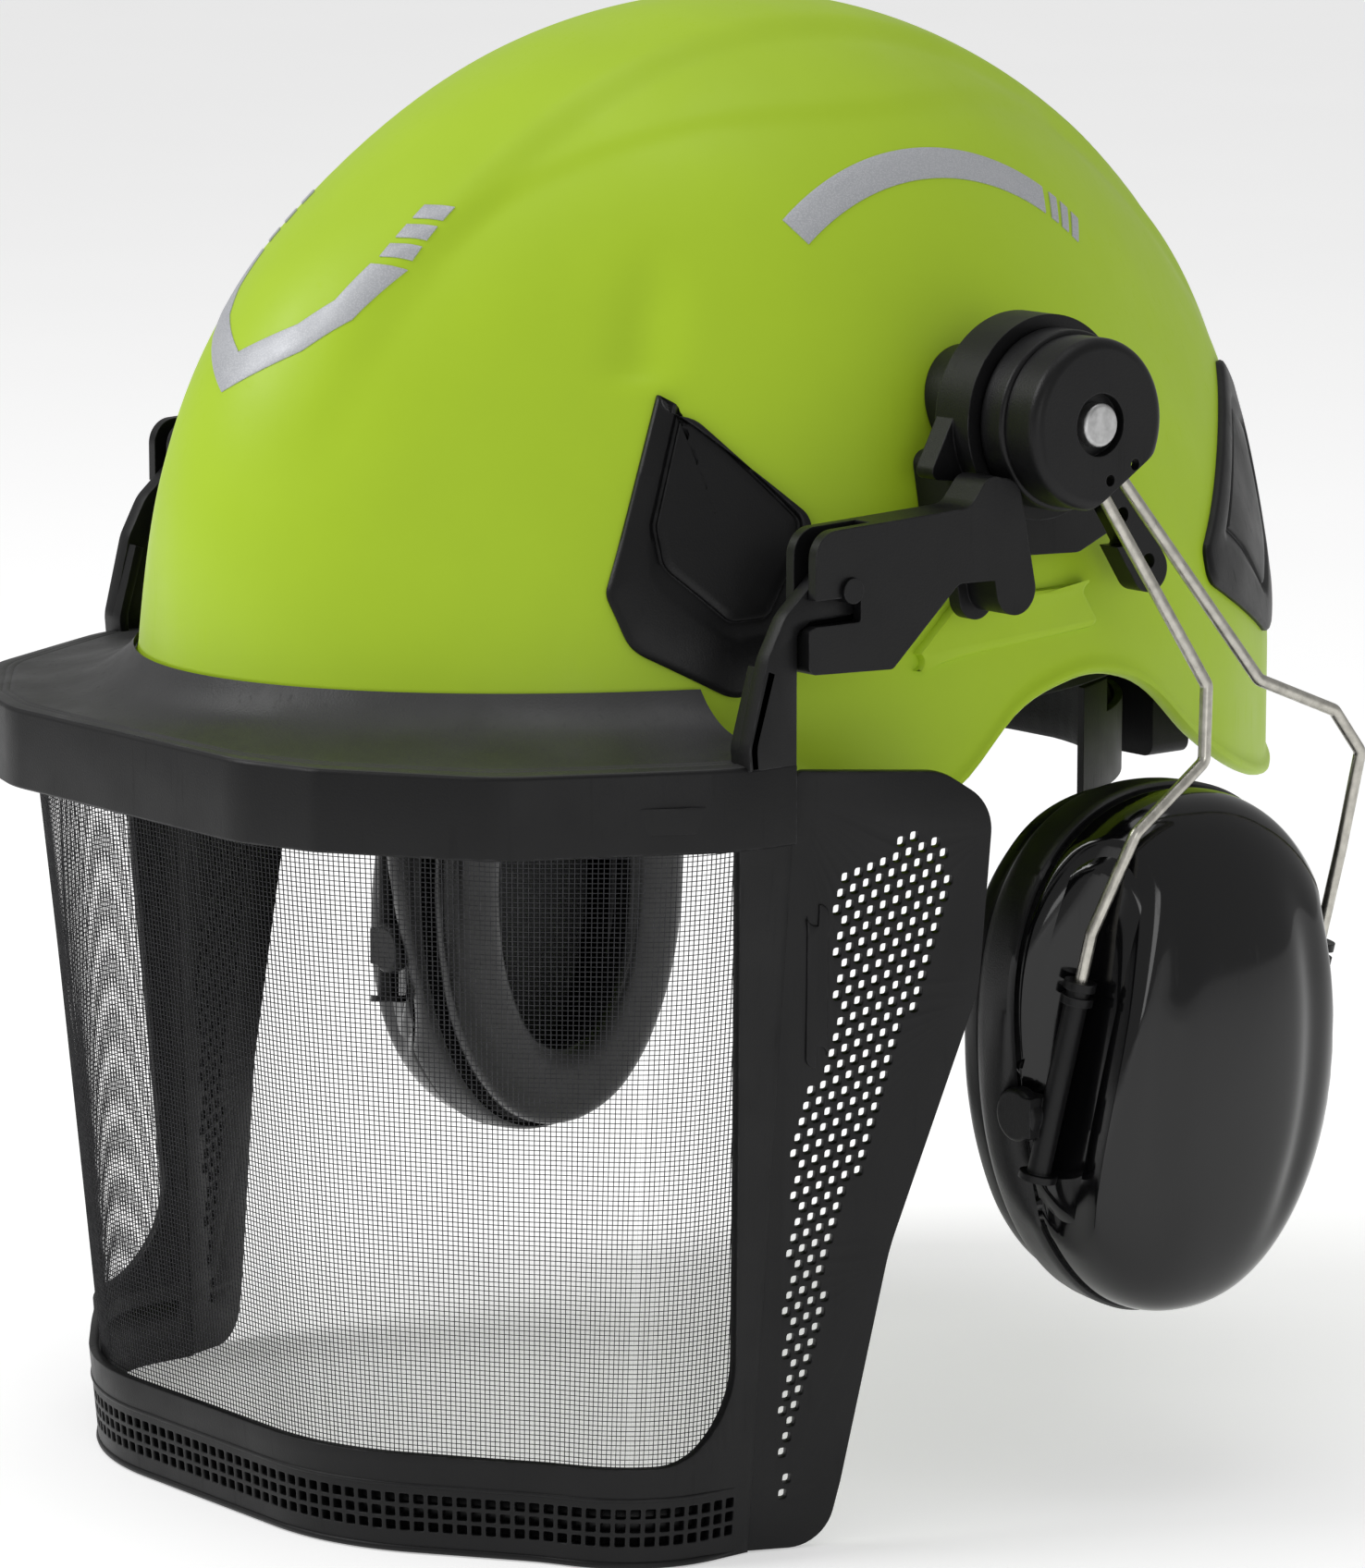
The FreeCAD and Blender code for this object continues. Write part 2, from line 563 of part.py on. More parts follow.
def make_sleeve(centre, is_front):
    """Plastic sleeve on one leg: two collars at the top, a flange at the foot and a button on the cup."""
    top = centre - SLIDE * 32
    tube = Part.makeCylinder(SLEEVE_R, 47, top, SLIDE)
    collars = [Part.makeCylinder(3.7, 1.9, top + SLIDE * step, SLIDE) for step in (0.0, 3.4)]
    flange = Part.makeCylinder(4.4, 1.6, top + SLIDE * 45.4, SLIDE)
    outward = -1 if is_front else 1
    link = Part.makeBox(8, 6.5, 9, V(centre.x - 8.5, centre.y - (6.0 if is_front else 0.5), PIVOT_Z - 4.5))
    button = Part.makeCylinder(BUTTON_R, 3.4, V(PIVOT_X, centre.y + outward * 2.6, PIVOT_Z), V(0, outward, 0))
    button = button.makeFillet(1.2, [button.Edges[0]])
    bore = Part.makeCylinder(WIRE_R + RUNNING, 90, top - SLIDE * 10, SLIDE)
    return fuse([tube, link, button, flange] + collars).cut(bore)


# ---------------------------------------------------------------- ear cup
def cup_ring(x, scale_y, scale_z, shift_z=0.0):
    """Egg-shaped closed curve of the cup at one depth; the lower end is a little narrower."""
    points = []
    count = 40
    for i in range(count):
        turn = 2 * math.pi * i / count
        taper = 1 + CUP_TAPER * math.sin(turn)
        cos_t = math.copysign(abs(math.cos(turn)) ** CUP_SQUARENESS, math.cos(turn))
        sin_t = math.copysign(abs(math.sin(turn)) ** CUP_SQUARENESS, math.sin(turn))
        points.append(V(x, CUP_CENTRE.y + CUP_HALF_WIDTH * scale_y * taper * cos_t,
                        CUP_CENTRE.z + shift_z + CUP_HALF_HEIGHT * scale_z * sin_t))
    curve = Part.BSplineCurve()
    curve.interpolate(Points=points, PeriodicFlag=True)
    return Part.Wire(curve.toShape())


def cup_loft(stations):
    """Solid through a list of (x, scale_y, scale_z)."""
    return Part.makeLoft([cup_ring(*station) for station in stations], True, False)


def turned_cup(shape):
    """Turn a cup piece about the vertical through the cup's centre."""
    return shape.rotate(CUP_CENTRE, V(0, 0, 1), CUP_YAW)


def groove_cutter():
    """Room for the sleeves and the wires in the flanks of the cup."""
    return [Part.makeCylinder(LEG_GROOVE_R, 110, centre - SLIDE * 85, SLIDE) for centre in sleeve_line()]


def button_pockets():
    """Round pockets in the flanks of the cup for the links and buttons."""
    pockets = []
    for centre, outward in zip(sleeve_line(), (-1, 1)):
        start = V(PIVOT_X, centre.y - outward * 2.4, PIVOT_Z)
        pockets.append(Part.makeCylinder(BUTTON_POCKET_R, 30, start, V(0, outward, 0)))
    return pockets


def make_cup_shell():
    """Glossy outer dome of the cup."""
    outer = [(CUP_SEAM_X, 0.97, 0.985), (127, 0.95, 0.965), (134, 0.90, 0.91), (140, 0.80, 0.81),
             (145, 0.64, 0.65), (148.4, 0.44, 0.45), (CUP_FACE_X, 0.2, 0.22)]
    inner = [(CUP_SEAM_X - 1, 0.90, 0.94), (128, 0.88, 0.915), (135, 0.80, 0.835), (141, 0.66, 0.69),
             (145, 0.46, 0.48), (147, 0.2, 0.22)]
    dome = turned_cup(cup_loft(outer).cut(cup_loft(inner)))
    return largest(dome.cut(groove_cutter() + button_pockets()))


def make_cup_back():
    """Satin back shell of the cup with the flange that carries the cushion."""
    outer = cup_loft([(CUP_BACK_X, 0.93, 0.95), (112, 0.985, 0.99), (CUP_SEAM_X - 0.05, 0.995, 1.0)])
    inner = cup_loft([(CUP_BACK_X - 1, 0.60, 0.68), (114, 0.62, 0.70), (CUP_SEAM_X + 1, 0.90, 0.93)])
    back = turned_cup(outer.cut(inner))
    return largest(back.cut(groove_cutter() + button_pockets()))


def make_ear_cushion():
    """Soft ring that seals on the head."""
    outer = cup_loft([(CUSHION_X, 0.78, 0.84), (100.5, 0.90, 0.93), (104, 0.925, 0.945),
                      (CUP_BACK_X - 0.05, 0.90, 0.93)])
    inner = cup_loft([(CUSHION_X - 1, 0.52, 0.62), (CUP_BACK_X + 1, 0.50, 0.60)])
    return turned_cup(outer.cut(inner))


def make_cup_foam():
    """Foam disc in the bottom of the cup."""
    return turned_cup(cup_loft([(122.5, 0.64, 0.80), (129, 0.62, 0.78)]))


# ---------------------------------------------------------------- brim and visor
def brim_level(z, inset_front, inset_side):
    """Closed wire of the brim at one height, pulled in by different amounts at front and side."""
    corners = [(44, -170.5, 30), (64, -164, 8), (98, -140.5, 30), (122.8, -92, 40), (122.8, BRIM_CENTRE_Y, 0)]
    left = []
    for x, y, radius in corners:
        share = min(1.0, x / 122.8)
        inset = inset_front * (1 - share) + inset_side * share
        scale = 1 - inset / math.hypot(x, y - BRIM_CENTRE_Y)
        left.append((V(x * scale, BRIM_CENTRE_Y + (y - BRIM_CENTRE_Y) * scale, z), radius))
    right = [(V(-p.x, p.y, p.z), r) for p, r in left[::-1]]
    return Part.Wire(rounded_edges(left + right, True))


def brim_body(shrink, drop):
    """Solid under the brim's upper surface."""
    levels = [(RIM_BOTTOM_Z, 0, 0), (RIM_TOP_Z - 0.8, 0, 0), (RIM_TOP_Z, 1.0, 1.0), (-66.9, 8, 12),
              (-65.6, 13, 24), (-63.6, 17, 34), (-60, 20.3, 39), (-56, 22.7, 42), (-52.5, 24.5, 44)]
    wires = [brim_level(z - drop, front + shrink, side + shrink) for z, front, side in levels]
    return Part.makeLoft(wires, True, True)


def make_brim():
    """Brim: upright rim, sloping apron up to the shell, and the two uprights that carry the hinge."""
    cutter = brim_body(BRIM_WALL, BRIM_WALL)
    floor = Part.makeBox(300, 300, 60, V(-150, -200, RIM_BOTTOM_Z - 60))
    rear = Part.makeBox(300, 100, 100, V(-150, -77.5, -120))
    brim = brim_body(0, 0).cut([cutter, shell_form(1.0), rear, floor])
    upright = side_plate([(-90.5, -69, 0), (-91, -64, 8), (-86, -45, 10), (-81, -36, 10), (-71, -27.5, 4),
                          (-65, -26.2, 3), (-60, -27, 4), (-60, -37.4, 3), (-74, -38, 1.5), (-77.6, -40, 2),
                          (-77.6, -69, 0)], ARM_IN_X + CHEEK + GAP, ARM_OUT_X - CHEEK - GAP)
    upright = upright.cut(x_cylinder(STUD_R + 0.02, 110, 130, HINGE_Y, HINGE_Z))
    flange = side_plate([(-90.6, -69, 0), (-91, -64, 8), (-86, -47, 0), (-83.4, -48, 0), (-88.4, -64, 8),
                         (-88, -69, 0)], 112.5, ARM_OUT_X - CHEEK - GAP)
    pieces = [brim]
    for piece in (upright, flange):
        pieces += [piece, piece.mirror(V(0, 0, 0), V(1, 0, 0))]
    return fuse(pieces)


def make_hinge_stud():
    """Stud pressed into the upright; it turns in the arm's cheeks."""
    return x_cylinder(STUD_R, 114.5, 127.0, HINGE_Y, HINGE_Z)


def fold_point(depth):
    """Point on the fold line between the visor frame and its left wing, depth below the wing's top."""
    return V(120 - 0.0643 * depth, -75 - 0.023 * depth, WING_TOP_Z - depth)


def visor_level(z, inset):
    """Closed plan wire of the visor's sheet at one height, pulled in by inset."""
    fold = fold_point(WING_TOP_Z - z)
    down = (RIM_BOTTOM_Z - z) / (RIM_BOTTOM_Z - VISOR_BOTTOM_Z)
    front = -163.5 + 14.5 * down + inset
    left = [(V(46, front, z), 60), (V(94 - 9 * down - inset * 0.5, front + 29 - inset * 0.3, z), 45),
            (V(fold.x - inset, fold.y - 28, z), 30), (V(fold.x - inset, fold.y, z), 0)]
    right = [(V(-p.x, p.y, p.z), r) for p, r in left[::-1]]
    return Part.Wire(rounded_edges(left + right, True))


def visor_sheet(z_low, z_high, outer_inset, inner_inset):
    """Curved sheet of the visor between two heights and two insets."""
    outer = Part.makeLoft([visor_level(z, outer_inset) for z in (z_low, z_high)], True, True)
    inner = Part.makeLoft([visor_level(z, inner_inset) for z in (z_low - 1, z_high + 1)], True, True)
    behind = Part.makeBox(300, 60, 300, V(-150, VISOR_END_Y, -300))
    return outer.cut([inner, behind])


def make_visor_frame(brim):
    """Moulded frame: top bar, bottom band and two flared side wings round the mesh window."""
    sheet = visor_sheet(VISOR_BOTTOM_Z, RIM_TOP_Z - 8, 0, VISOR_WALL)
    window = side_plate([(-200, -82, 0), (-90.5, -82, 0), (-84.5, -214, 30), (-94, -227, 10), (-200, -227, 0)],
                        -150, 150)
    sheet = sheet.cut(window)
    wing = make_wing()
    frame = fuse([sheet, wing, wing.mirror(V(0, 0, 0), V(1, 0, 0))])
    return largest(frame.cut(brim))


def make_wing():
    """Flat wing that flares outwards behind the fold line."""
    back = V(math.sin(math.radians(WING_FLARE)), math.cos(math.radians(WING_FLARE)), 0)
    down = (fold_point(100) - fold_point(0)).normalize()
    outline = [(-4.5, 5.5, 0), (-4.5, 2, 0), (1, 0, 2), (34, 2, 14), (46.5, 10, 12), (46, 52, 20),
               (29, 110, 60), (21, 163, 30), (18, 178, 10), (-4.5, 177.6, 0)]
    points = [(fold_point(0) + back * u + down * v, r) for u, v, r in outline]
    face = Part.Face(Part.Wire(rounded_edges(points, True)))
    normal = back.cross(down)
    if normal.x > 0:
        normal = normal * -1
    return face.extrude(normal * VISOR_WALL)


def make_visor_mesh(neighbours):
    """Woven mesh behind the window, as one thin sheet."""
    sheet = visor_sheet(-230.5, RIM_TOP_Z - 8.5, VISOR_WALL + 0.1, VISOR_WALL + 0.1 + MESH_THICK)
    return largest(sheet.cut(neighbours))


def build():
    """Make every sub-part."""
    add("shell", make_shell())
    front_slots = [[(-87.5, -36, 0.4), (-84.5, -34, 0.4), (-71, -1, 0.4), (-73.5, 0, 0.4)]]
    rear_slots = [[(111, -14, 0.4), (114, -14, 0.4), (101, -34, 0.4), (98, -34, 0.4)],
                  [(98, -42, 0.4), (114, -50, 0.4), (114, -53, 0.4), (98, -45, 0.4)]]
    add_pair("front_vent_cover", make_vent_cover(FRONT_VENT, FRONT_VENT_INNER, front_slots))
    add_pair("rear_vent_cover", make_vent_cover(REAR_VENT, REAR_VENT_INNER, rear_slots))
    add("front_reflective_chevron", make_sticker(chevron_outlines(), V(0, 190, 0)))
    add_pair("side_reflective_arc", make_sticker(arc_outlines(), V(90, 0, 0)))
    add("headband", make_headband())
    add("sweatband", make_sweatband())
    add("crown_straps", make_crown_straps())
    add("hanger_clips", make_hanger_clips())
    add("nape_cradle", make_nape_cradle())
    add("nape_pad", make_nape_pad())
    add("ratchet_housing", make_ratchet_housing())
    add("ratchet_pinion", make_ratchet_pinion())
    add("ratchet_knob", make_ratchet_knob())
    add_pair("muff_bracket", make_adapter())
    add_pair("visor_arm", make_visor_arm())
    add_pair("hub_rivet", make_rivet())
    add_pair("hub_ring", make_hub_ring())
    add_pair("hub_cap", make_hub_cap())
    add_pair("muff_wire", make_wire())
    front_centre, rear_centre = sleeve_line()
    add_pair("front_sleeve", make_sleeve(front_centre, True))
    add_pair("rear_sleeve", make_sleeve(rear_centre, False))
    add_pair("cup_shell", make_cup_shell())
    add_pair("cup_back", make_cup_back())
    add_pair("ear_cushion", make_ear_cushion())
    add_pair("cup_foam", make_cup_foam())
    brim = make_brim()
    visor_frame = make_visor_frame(brim)
    add("brim", brim)
    add_pair("hinge_stud", make_hinge_stud())
    add("visor_frame", visor_frame)
    add("visor_mesh", make_visor_mesh([brim, visor_frame]))


build()
os.makedirs("parts", exist_ok=True)
for node, shape in PARTS.items():
    shape.exportStep("parts/" + node + ".step")
    print(node, len(shape.Solids), round(shape.Volume), shape.isValid())
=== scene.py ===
"""Looks of the forestry helmet: meshes, procedural materials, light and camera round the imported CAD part.

Shape code works in millimetres in the part's own frame and turns into metres when a mesh is made.
"""

import json
import math

import bmesh
import bpy
from mathutils import Matrix, Vector, noise


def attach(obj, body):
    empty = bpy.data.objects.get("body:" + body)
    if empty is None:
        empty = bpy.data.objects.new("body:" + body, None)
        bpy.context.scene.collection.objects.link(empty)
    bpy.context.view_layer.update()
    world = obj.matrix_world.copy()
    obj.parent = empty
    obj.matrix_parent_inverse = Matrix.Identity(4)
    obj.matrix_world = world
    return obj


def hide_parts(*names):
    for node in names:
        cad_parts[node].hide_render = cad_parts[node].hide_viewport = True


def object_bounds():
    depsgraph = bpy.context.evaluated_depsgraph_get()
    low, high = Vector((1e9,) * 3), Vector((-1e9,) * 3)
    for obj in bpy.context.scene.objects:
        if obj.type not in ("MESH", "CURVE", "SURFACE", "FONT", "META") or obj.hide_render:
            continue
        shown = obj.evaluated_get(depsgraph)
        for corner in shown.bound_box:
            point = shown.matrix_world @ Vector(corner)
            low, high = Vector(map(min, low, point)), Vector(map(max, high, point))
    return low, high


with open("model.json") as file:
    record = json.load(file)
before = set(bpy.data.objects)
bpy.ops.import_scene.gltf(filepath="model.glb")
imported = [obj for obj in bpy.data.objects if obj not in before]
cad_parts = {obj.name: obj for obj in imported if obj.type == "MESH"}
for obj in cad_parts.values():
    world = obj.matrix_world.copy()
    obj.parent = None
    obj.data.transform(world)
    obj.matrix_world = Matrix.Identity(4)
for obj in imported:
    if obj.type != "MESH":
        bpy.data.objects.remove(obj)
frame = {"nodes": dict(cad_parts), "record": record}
CAD_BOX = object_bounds()
MM = 0.001

# ---------------------------------------------------------------- dimensions (mm)
SHELL_HALF_WIDTH = 105.2
SHELL_FRONT = 153.5
SHELL_REAR = 145.5
SHELL_CENTRE_Y = 3.8
SHELL_BASE_Z = -72.0
SHELL_HEIGHT = 156.9
SHELL_WALL = 2.8
SHELL_EDGE = [(-175, -62), (-120, -62), (-70, -70), (-38, -88), (-16, -84), (2, -68), (18, -62.5),
              (31, -62.3), (46, -67.4), (66, -81.7), (89, -93), (112, -99.3), (130, -99), (175, -92)]
STEP_LINE = [(-150, 20), (-118, 23), (-95, 28), (-82, 31), (-60, 38), (-44, 43), (-25, 48.5), (-7, 52),
             (14, 51.5), (35, 46), (66, 35), (90, 25), (130, 16)]
RIM_BOTTOM_Z = -86.5
VISOR_TOP_Z = -76.0
VISOR_BOTTOM_Z = -248.5
VISOR_WALL = 2.4
MESH_PITCH = 1.1
MESH_WIRE = 0.16
CUP_CENTRE = Vector((121.0, 32.3, -147.0))
CUP_HALF_WIDTH = 44.0
CUP_HALF_HEIGHT = 61.5
CUP_YAW = -4.0
SLIDE = Vector((-0.16, -0.13, -1.0)).normalized()
SLEEVE_AT = (Vector((125.08, -4.56, -157.0)), Vector((125.752, 69.111, -157.0)))
FLOOR_RADIUS = 60000.0

# ---------------------------------------------------------------- camera (degrees and metres)
CAMERA_AZIMUTH = 51.008
CAMERA_ELEVATION = 10.264
CAMERA_DISTANCE = 1.52265
CAMERA_TARGET = (0.06055, -0.05894, -0.0839)
CAMERA_LENS = 155.14
CAMERA_SENSOR = 36


# ---------------------------------------------------------------- mesh helpers
def make_object(name, vertices, faces, smooth=True):
    """Mesh object from vertices in millimetres."""
    mesh = bpy.data.meshes.new(name)
    mesh.from_pydata([Vector(v) * MM for v in vertices], [], faces)
    mesh.validate()
    bm = bmesh.new()
    bm.from_mesh(mesh)
    bmesh.ops.remove_doubles(bm, verts=bm.verts, dist=1e-6)
    bmesh.ops.recalc_face_normals(bm, faces=bm.faces)
    for face in bm.faces:
        face.smooth = smooth
    bm.to_mesh(mesh)
    bm.free()
    obj = bpy.data.objects.new(name, mesh)
    bpy.context.scene.collection.objects.link(obj)
    return obj


def grid_faces(rows, columns, ring):
    """Quads of a grid; with ring, the last column joins the first."""
    faces = []
    for r in range(rows - 1):
        for c in range(columns if ring else columns - 1):
            d = (c + 1) % columns
            faces.append((r * columns + c, r * columns + d, (r + 1) * columns + d, (r + 1) * columns + c))
    return faces


def skin(name, rows, ring=True, tube=False):
    """Surface through rows of points; with tube, the last row joins the first."""
    rows = rows + rows[:1] if tube else rows
    vertices = [p for row in rows for p in row]
    return make_object(name, vertices, grid_faces(len(rows), len(rows[0]), ring))


def capped(name, rows):
    """Closed surface through rings of points, with a cap at each end."""
    count = len(rows[0])
    vertices = [p for row in rows for p in row]
    faces = grid_faces(len(rows), count, True)
    faces += [tuple(range(count)), tuple(range(len(vertices) - count, len(vertices)))]
    return make_object(name, vertices, faces)


def mirrored(obj, name):
    """Copy of an object mirrored across the middle plane."""
    mesh = obj.data.copy()
    mesh.transform(Matrix.Scale(-1, 4, (1, 0, 0)))
    mesh.flip_normals()
    twin = bpy.data.objects.new(name, mesh)
    bpy.context.scene.collection.objects.link(twin)
    return twin


def sharpen(obj, degrees=35):
    """Shade smooth, with creases where faces meet at more than this angle."""
    limit = math.radians(degrees)
    bm = bmesh.new()
    bm.from_mesh(obj.data)
    for face in bm.faces:
        face.smooth = True
    for edge in bm.edges:
        edge.smooth = not (len(edge.link_faces) == 2 and edge.calc_face_angle(0) > limit)
    bm.to_mesh(obj.data)
    bm.free()
    return obj


def apply_modifiers(obj):
    """Replace the mesh by its modified result."""
    graph = bpy.context.evaluated_depsgraph_get()
    mesh = bpy.data.meshes.new_from_object(obj.evaluated_get(graph))
    obj.modifiers.clear()
    obj.data = mesh
    return obj


def cut_away(obj, cutters):
    """Subtract closed objects, which are then removed."""
    for cutter in cutters:
        modifier = obj.modifiers.new("cut", "BOOLEAN")
        modifier.operation = "DIFFERENCE"
        modifier.solver = "EXACT"
        modifier.object = cutter
    apply_modifiers(obj)
    for cutter in cutters:
        bpy.data.objects.remove(cutter)
    return obj


def rounded(points, closed=True, steps=6):
    """Plane outline of (a, b, radius) with its corners rounded, as (a, b) points."""
    result = []
    count = len(points)
    for i, (a, b, radius) in enumerate(points):
        corner = Vector((a, b))
        if not radius or (not closed and i in (0, count - 1)):
            result.append(corner)
            continue
        before = (Vector(points[i - 1][:2]) - corner).normalized()
        after = (Vector(points[(i + 1) % count][:2]) - corner).normalized()
        half = before.angle(after) / 2
        middle = (before + after).normalized()
        centre = corner + middle * (radius / math.sin(half))
        start = corner + before * (radius / math.tan(half)) - centre
        turn = math.pi - 2 * half
        if start.x * after.y - start.y * after.x < 0:
            turn = -turn
        for k in range(steps + 1):
            angle = turn * k / steps
            cos_a, sin_a = math.cos(angle), math.sin(angle)
            turned = Vector((start.x * cos_a - start.y * sin_a, start.x * sin_a + start.y * cos_a))
            result.append(centre + turned)
    return result


def area(loop):
    """Signed area of a closed plane loop."""
    return sum(loop[i - 1][0] * loop[i][1] - loop[i][0] * loop[i - 1][1] for i in range(len(loop))) / 2


def sheet_mesh(loops, thickness, bevel):
    """Flat plate with holes: the first loop is the outline, the others are holes; edges get a small bevel."""
    curve = bpy.data.curves.new("plate", "CURVE")
    curve.dimensions = "2D"
    curve.fill_mode = "BOTH"
    curve.extrude = thickness / 2 - bevel
    curve.bevel_depth = bevel
    curve.bevel_resolution = 1
    curve.offset = -bevel
    for i, loop in enumerate(loops):
        points = list(loop)
        if (area(points) > 0) == (i > 0):
            points = points[::-1]
        spline = curve.splines.new("POLY")
        spline.points.add(len(points) - 1)
        spline.points.foreach_set("co", [value for p in points for value in (p[0], p[1], 0.0, 1.0)])
        spline.use_cyclic_u = True
    holder = bpy.data.objects.new("plate", curve)
    bpy.context.scene.collection.objects.link(holder)
    mesh = bpy.data.meshes.new_from_object(holder.evaluated_get(bpy.context.evaluated_depsgraph_get()))
    bpy.data.objects.remove(holder)
    return mesh


def plate(name, loops, thickness, bevel, place, slices=()):
    """Plate of the plane loops, carried into space by place(a, b, height)."""
    bm = bmesh.new()
    bm.from_mesh(sheet_mesh(loops, thickness, bevel))
    bmesh.ops.remove_doubles(bm, verts=bm.verts, dist=1e-4)
    for cut in slices:
        geometry = bm.verts[:] + bm.edges[:] + bm.faces[:]
        bmesh.ops.bisect_plane(bm, geom=geometry, plane_co=(cut, 0, 0), plane_no=(1, 0, 0))
    for vertex in bm.verts:
        vertex.co = Vector(place(*vertex.co)) * MM
    bmesh.ops.recalc_face_normals(bm, faces=bm.faces)
    mesh = bpy.data.meshes.new(name)
    bm.to_mesh(mesh)
    bm.free()
    obj = bpy.data.objects.new(name, mesh)
    bpy.context.scene.collection.objects.link(obj)
    return sharpen(obj)


def side_prism(name, outline, x_low, x_high, bevel=0.3, steps=6):
    """Plate with an outline in the side view, between two X planes."""
    middle = (x_low + x_high) / 2
    loops = [rounded(outline, steps=steps)]
    return plate(name, loops, x_high - x_low, bevel, lambda a, b, h: (middle + h, a, b))


def smoothstep(value):
    """0 below 0, 1 above 1, smooth between."""
    clamped = max(0.0, min(1.0, value))
    return clamped * clamped * (3 - 2 * clamped)


def curve_value(table, at):
    """Smooth value of a table of (position, value) pairs."""
    i = max(1, min(len(table) - 1, next((k for k, row in enumerate(table) if row[0] > at), len(table) - 1)))
    (x0, y0), (x1, y1) = table[i - 1], table[i]
    before = table[max(0, i - 2)]
    after = table[min(len(table) - 1, i + 1)]
    slope0 = (y1 - before[1]) / (x1 - before[0])
    slope1 = (after[1] - y0) / (after[0] - x0)
    t = (at - x0) / (x1 - x0)
    width = x1 - x0
    return ((2 * t ** 3 - 3 * t ** 2 + 1) * y0 + (t ** 3 - 2 * t ** 2 + t) * width * slope0
            + (3 * t ** 2 - 2 * t ** 3) * y1 + (t ** 3 - t ** 2) * width * slope1)


# ---------------------------------------------------------------- shell surface
def shell_relief(p, level):
    """Height of the moulded relief at a point of the shell."""
    band = 2.4 * smoothstep((27 - abs(p.x)) / 9 + 0.5) * smoothstep((level - 0.35) / 0.3)
    inside_step = smoothstep((curve_value(STEP_LINE, p.y) - abs(p.x)) / 5 + 0.5)
    step = 1.1 * inside_step * smoothstep((level - 0.5) / 0.18)
    along = (p.z - 12) / 30
    scoop_y = -73 + 12 * along
    scoop = 1.5 * math.exp(-((p.y - scoop_y) / 6) ** 2)
    scoop *= smoothstep(along * 6 + 1) * smoothstep((1 - along) * 1.6)
    return band + step - scoop


def shell_at(theta, z, grow):
    """Point on the shell at a height; theta runs round the plan from +X towards -Y."""
    level = max(0.0, min(1.0, (z - SHELL_BASE_Z) / SHELL_HEIGHT))
    cos_t, sin_t = math.cos(theta), math.sin(theta)
    length = SHELL_FRONT if sin_t > 0 else SHELL_REAR
    fullness = -0.01 * cos_t ** 2 + (0.08 if sin_t > 0 else 0.077) * sin_t ** 2
    fullness -= (0.105 if sin_t > 0 else 0.083) * math.sin(2 * theta) ** 2
    reach = math.sqrt(1 - level ** 2) * (1 + fullness * math.sin(math.pi * level) ** 2)
    p = Vector((SHELL_HALF_WIDTH * cos_t * reach, SHELL_CENTRE_Y - length * sin_t * reach, z))
    normal = Vector((p.x / SHELL_HALF_WIDTH ** 2, (p.y - SHELL_CENTRE_Y) / length ** 2, level / SHELL_HEIGHT))
    return p + normal.normalized() * (shell_relief(p, level) + grow)


def solve(function, low, high):
    """Place between low and high where a function changes sign."""
    sign = function(low) > 0
    for _ in range(30):
        middle = (low + high) / 2
        if (function(middle) > 0) == sign:
            low = middle
        else:
            high = middle
    return (low + high) / 2


def on_side(y, z, grow):
    """Point on the shell's left side at a place of the side view."""
    theta = solve(lambda t: shell_at(t, z, 0).y - y, -1.5, 1.5)
    return shell_at(theta, z, grow)


def on_front(x, z, grow):
    """Point on the shell's front at a place of the front view."""
    theta = solve(lambda t: shell_at(t, z, 0).x - x, 0.02, math.pi - 0.02)
    return shell_at(theta, z, grow)


def shell_row(share, grow, lift):
    """Ring of the shell: share 0 is the lower edge, 1 the crown; lift is a distance above the edge."""
    row = []
    for i in range(SHELL_COLUMNS):
        theta = 2 * math.pi * i / SHELL_COLUMNS
        length = SHELL_FRONT if math.sin(theta) > 0 else SHELL_REAR
        edge_z = curve_value(SHELL_EDGE, SHELL_CENTRE_Y - length * math.sin(theta)) + lift
        start = (edge_z - SHELL_BASE_Z) / SHELL_HEIGHT
        low = math.asin(start) if start > 0 else start
        tilt = low + (math.pi / 2 - low) * share
        z = SHELL_BASE_Z + SHELL_HEIGHT * (math.sin(tilt) if tilt > 0 else tilt)
        row.append(shell_at(theta, z, grow))
    return row


SHELL_COLUMNS = 300
SHELL_ROWS = 96
BEAD = [(5.0, 0.0), (3.4, 0.15), (2.4, 0.7), (1.4, 1.1), (0.5, 1.0), (0.0, 0.5), (-0.3, -0.4), (-0.35, -1.4),
        (-0.1, -2.3), (0.5, -SHELL_WALL)]


def make_shell():
    """Shell with its rolled lower edge and vent openings."""
    shares = [(i / SHELL_ROWS) for i in range(SHELL_ROWS, 0, -1)]
    rows = [shell_row(min(share, 0.9985), 0.0, 5.0) for share in shares]
    rows += [shell_row(0.0, grow, lift) for lift, grow in BEAD]
    rows += [shell_row(min(share, 0.9985), -SHELL_WALL, 0.5) for share in shares[::-1]]
    obj = capped("helmet_shell", rows)
    cutters = []
    for outline in (FRONT_WINDOW, REAR_WINDOW):
        window = side_prism("window", outline, 42, 125, 0.01)
        cutters += [window, mirrored(window, "window_right")]
    cut_away(obj, cutters)
    return sharpen(obj, 40)


FRONT_WINDOW = [(-66, 2, 3), (-52, -24, 4), (-56, -36, 4), (-69, -39, 4), (-77, -29, 4), (-76, -20, 4)]
REAR_WINDOW = [(119, -16, 3), (92, -41, 3), (112, -50, 3), (123, -42, 3), (125, -22, 3)]


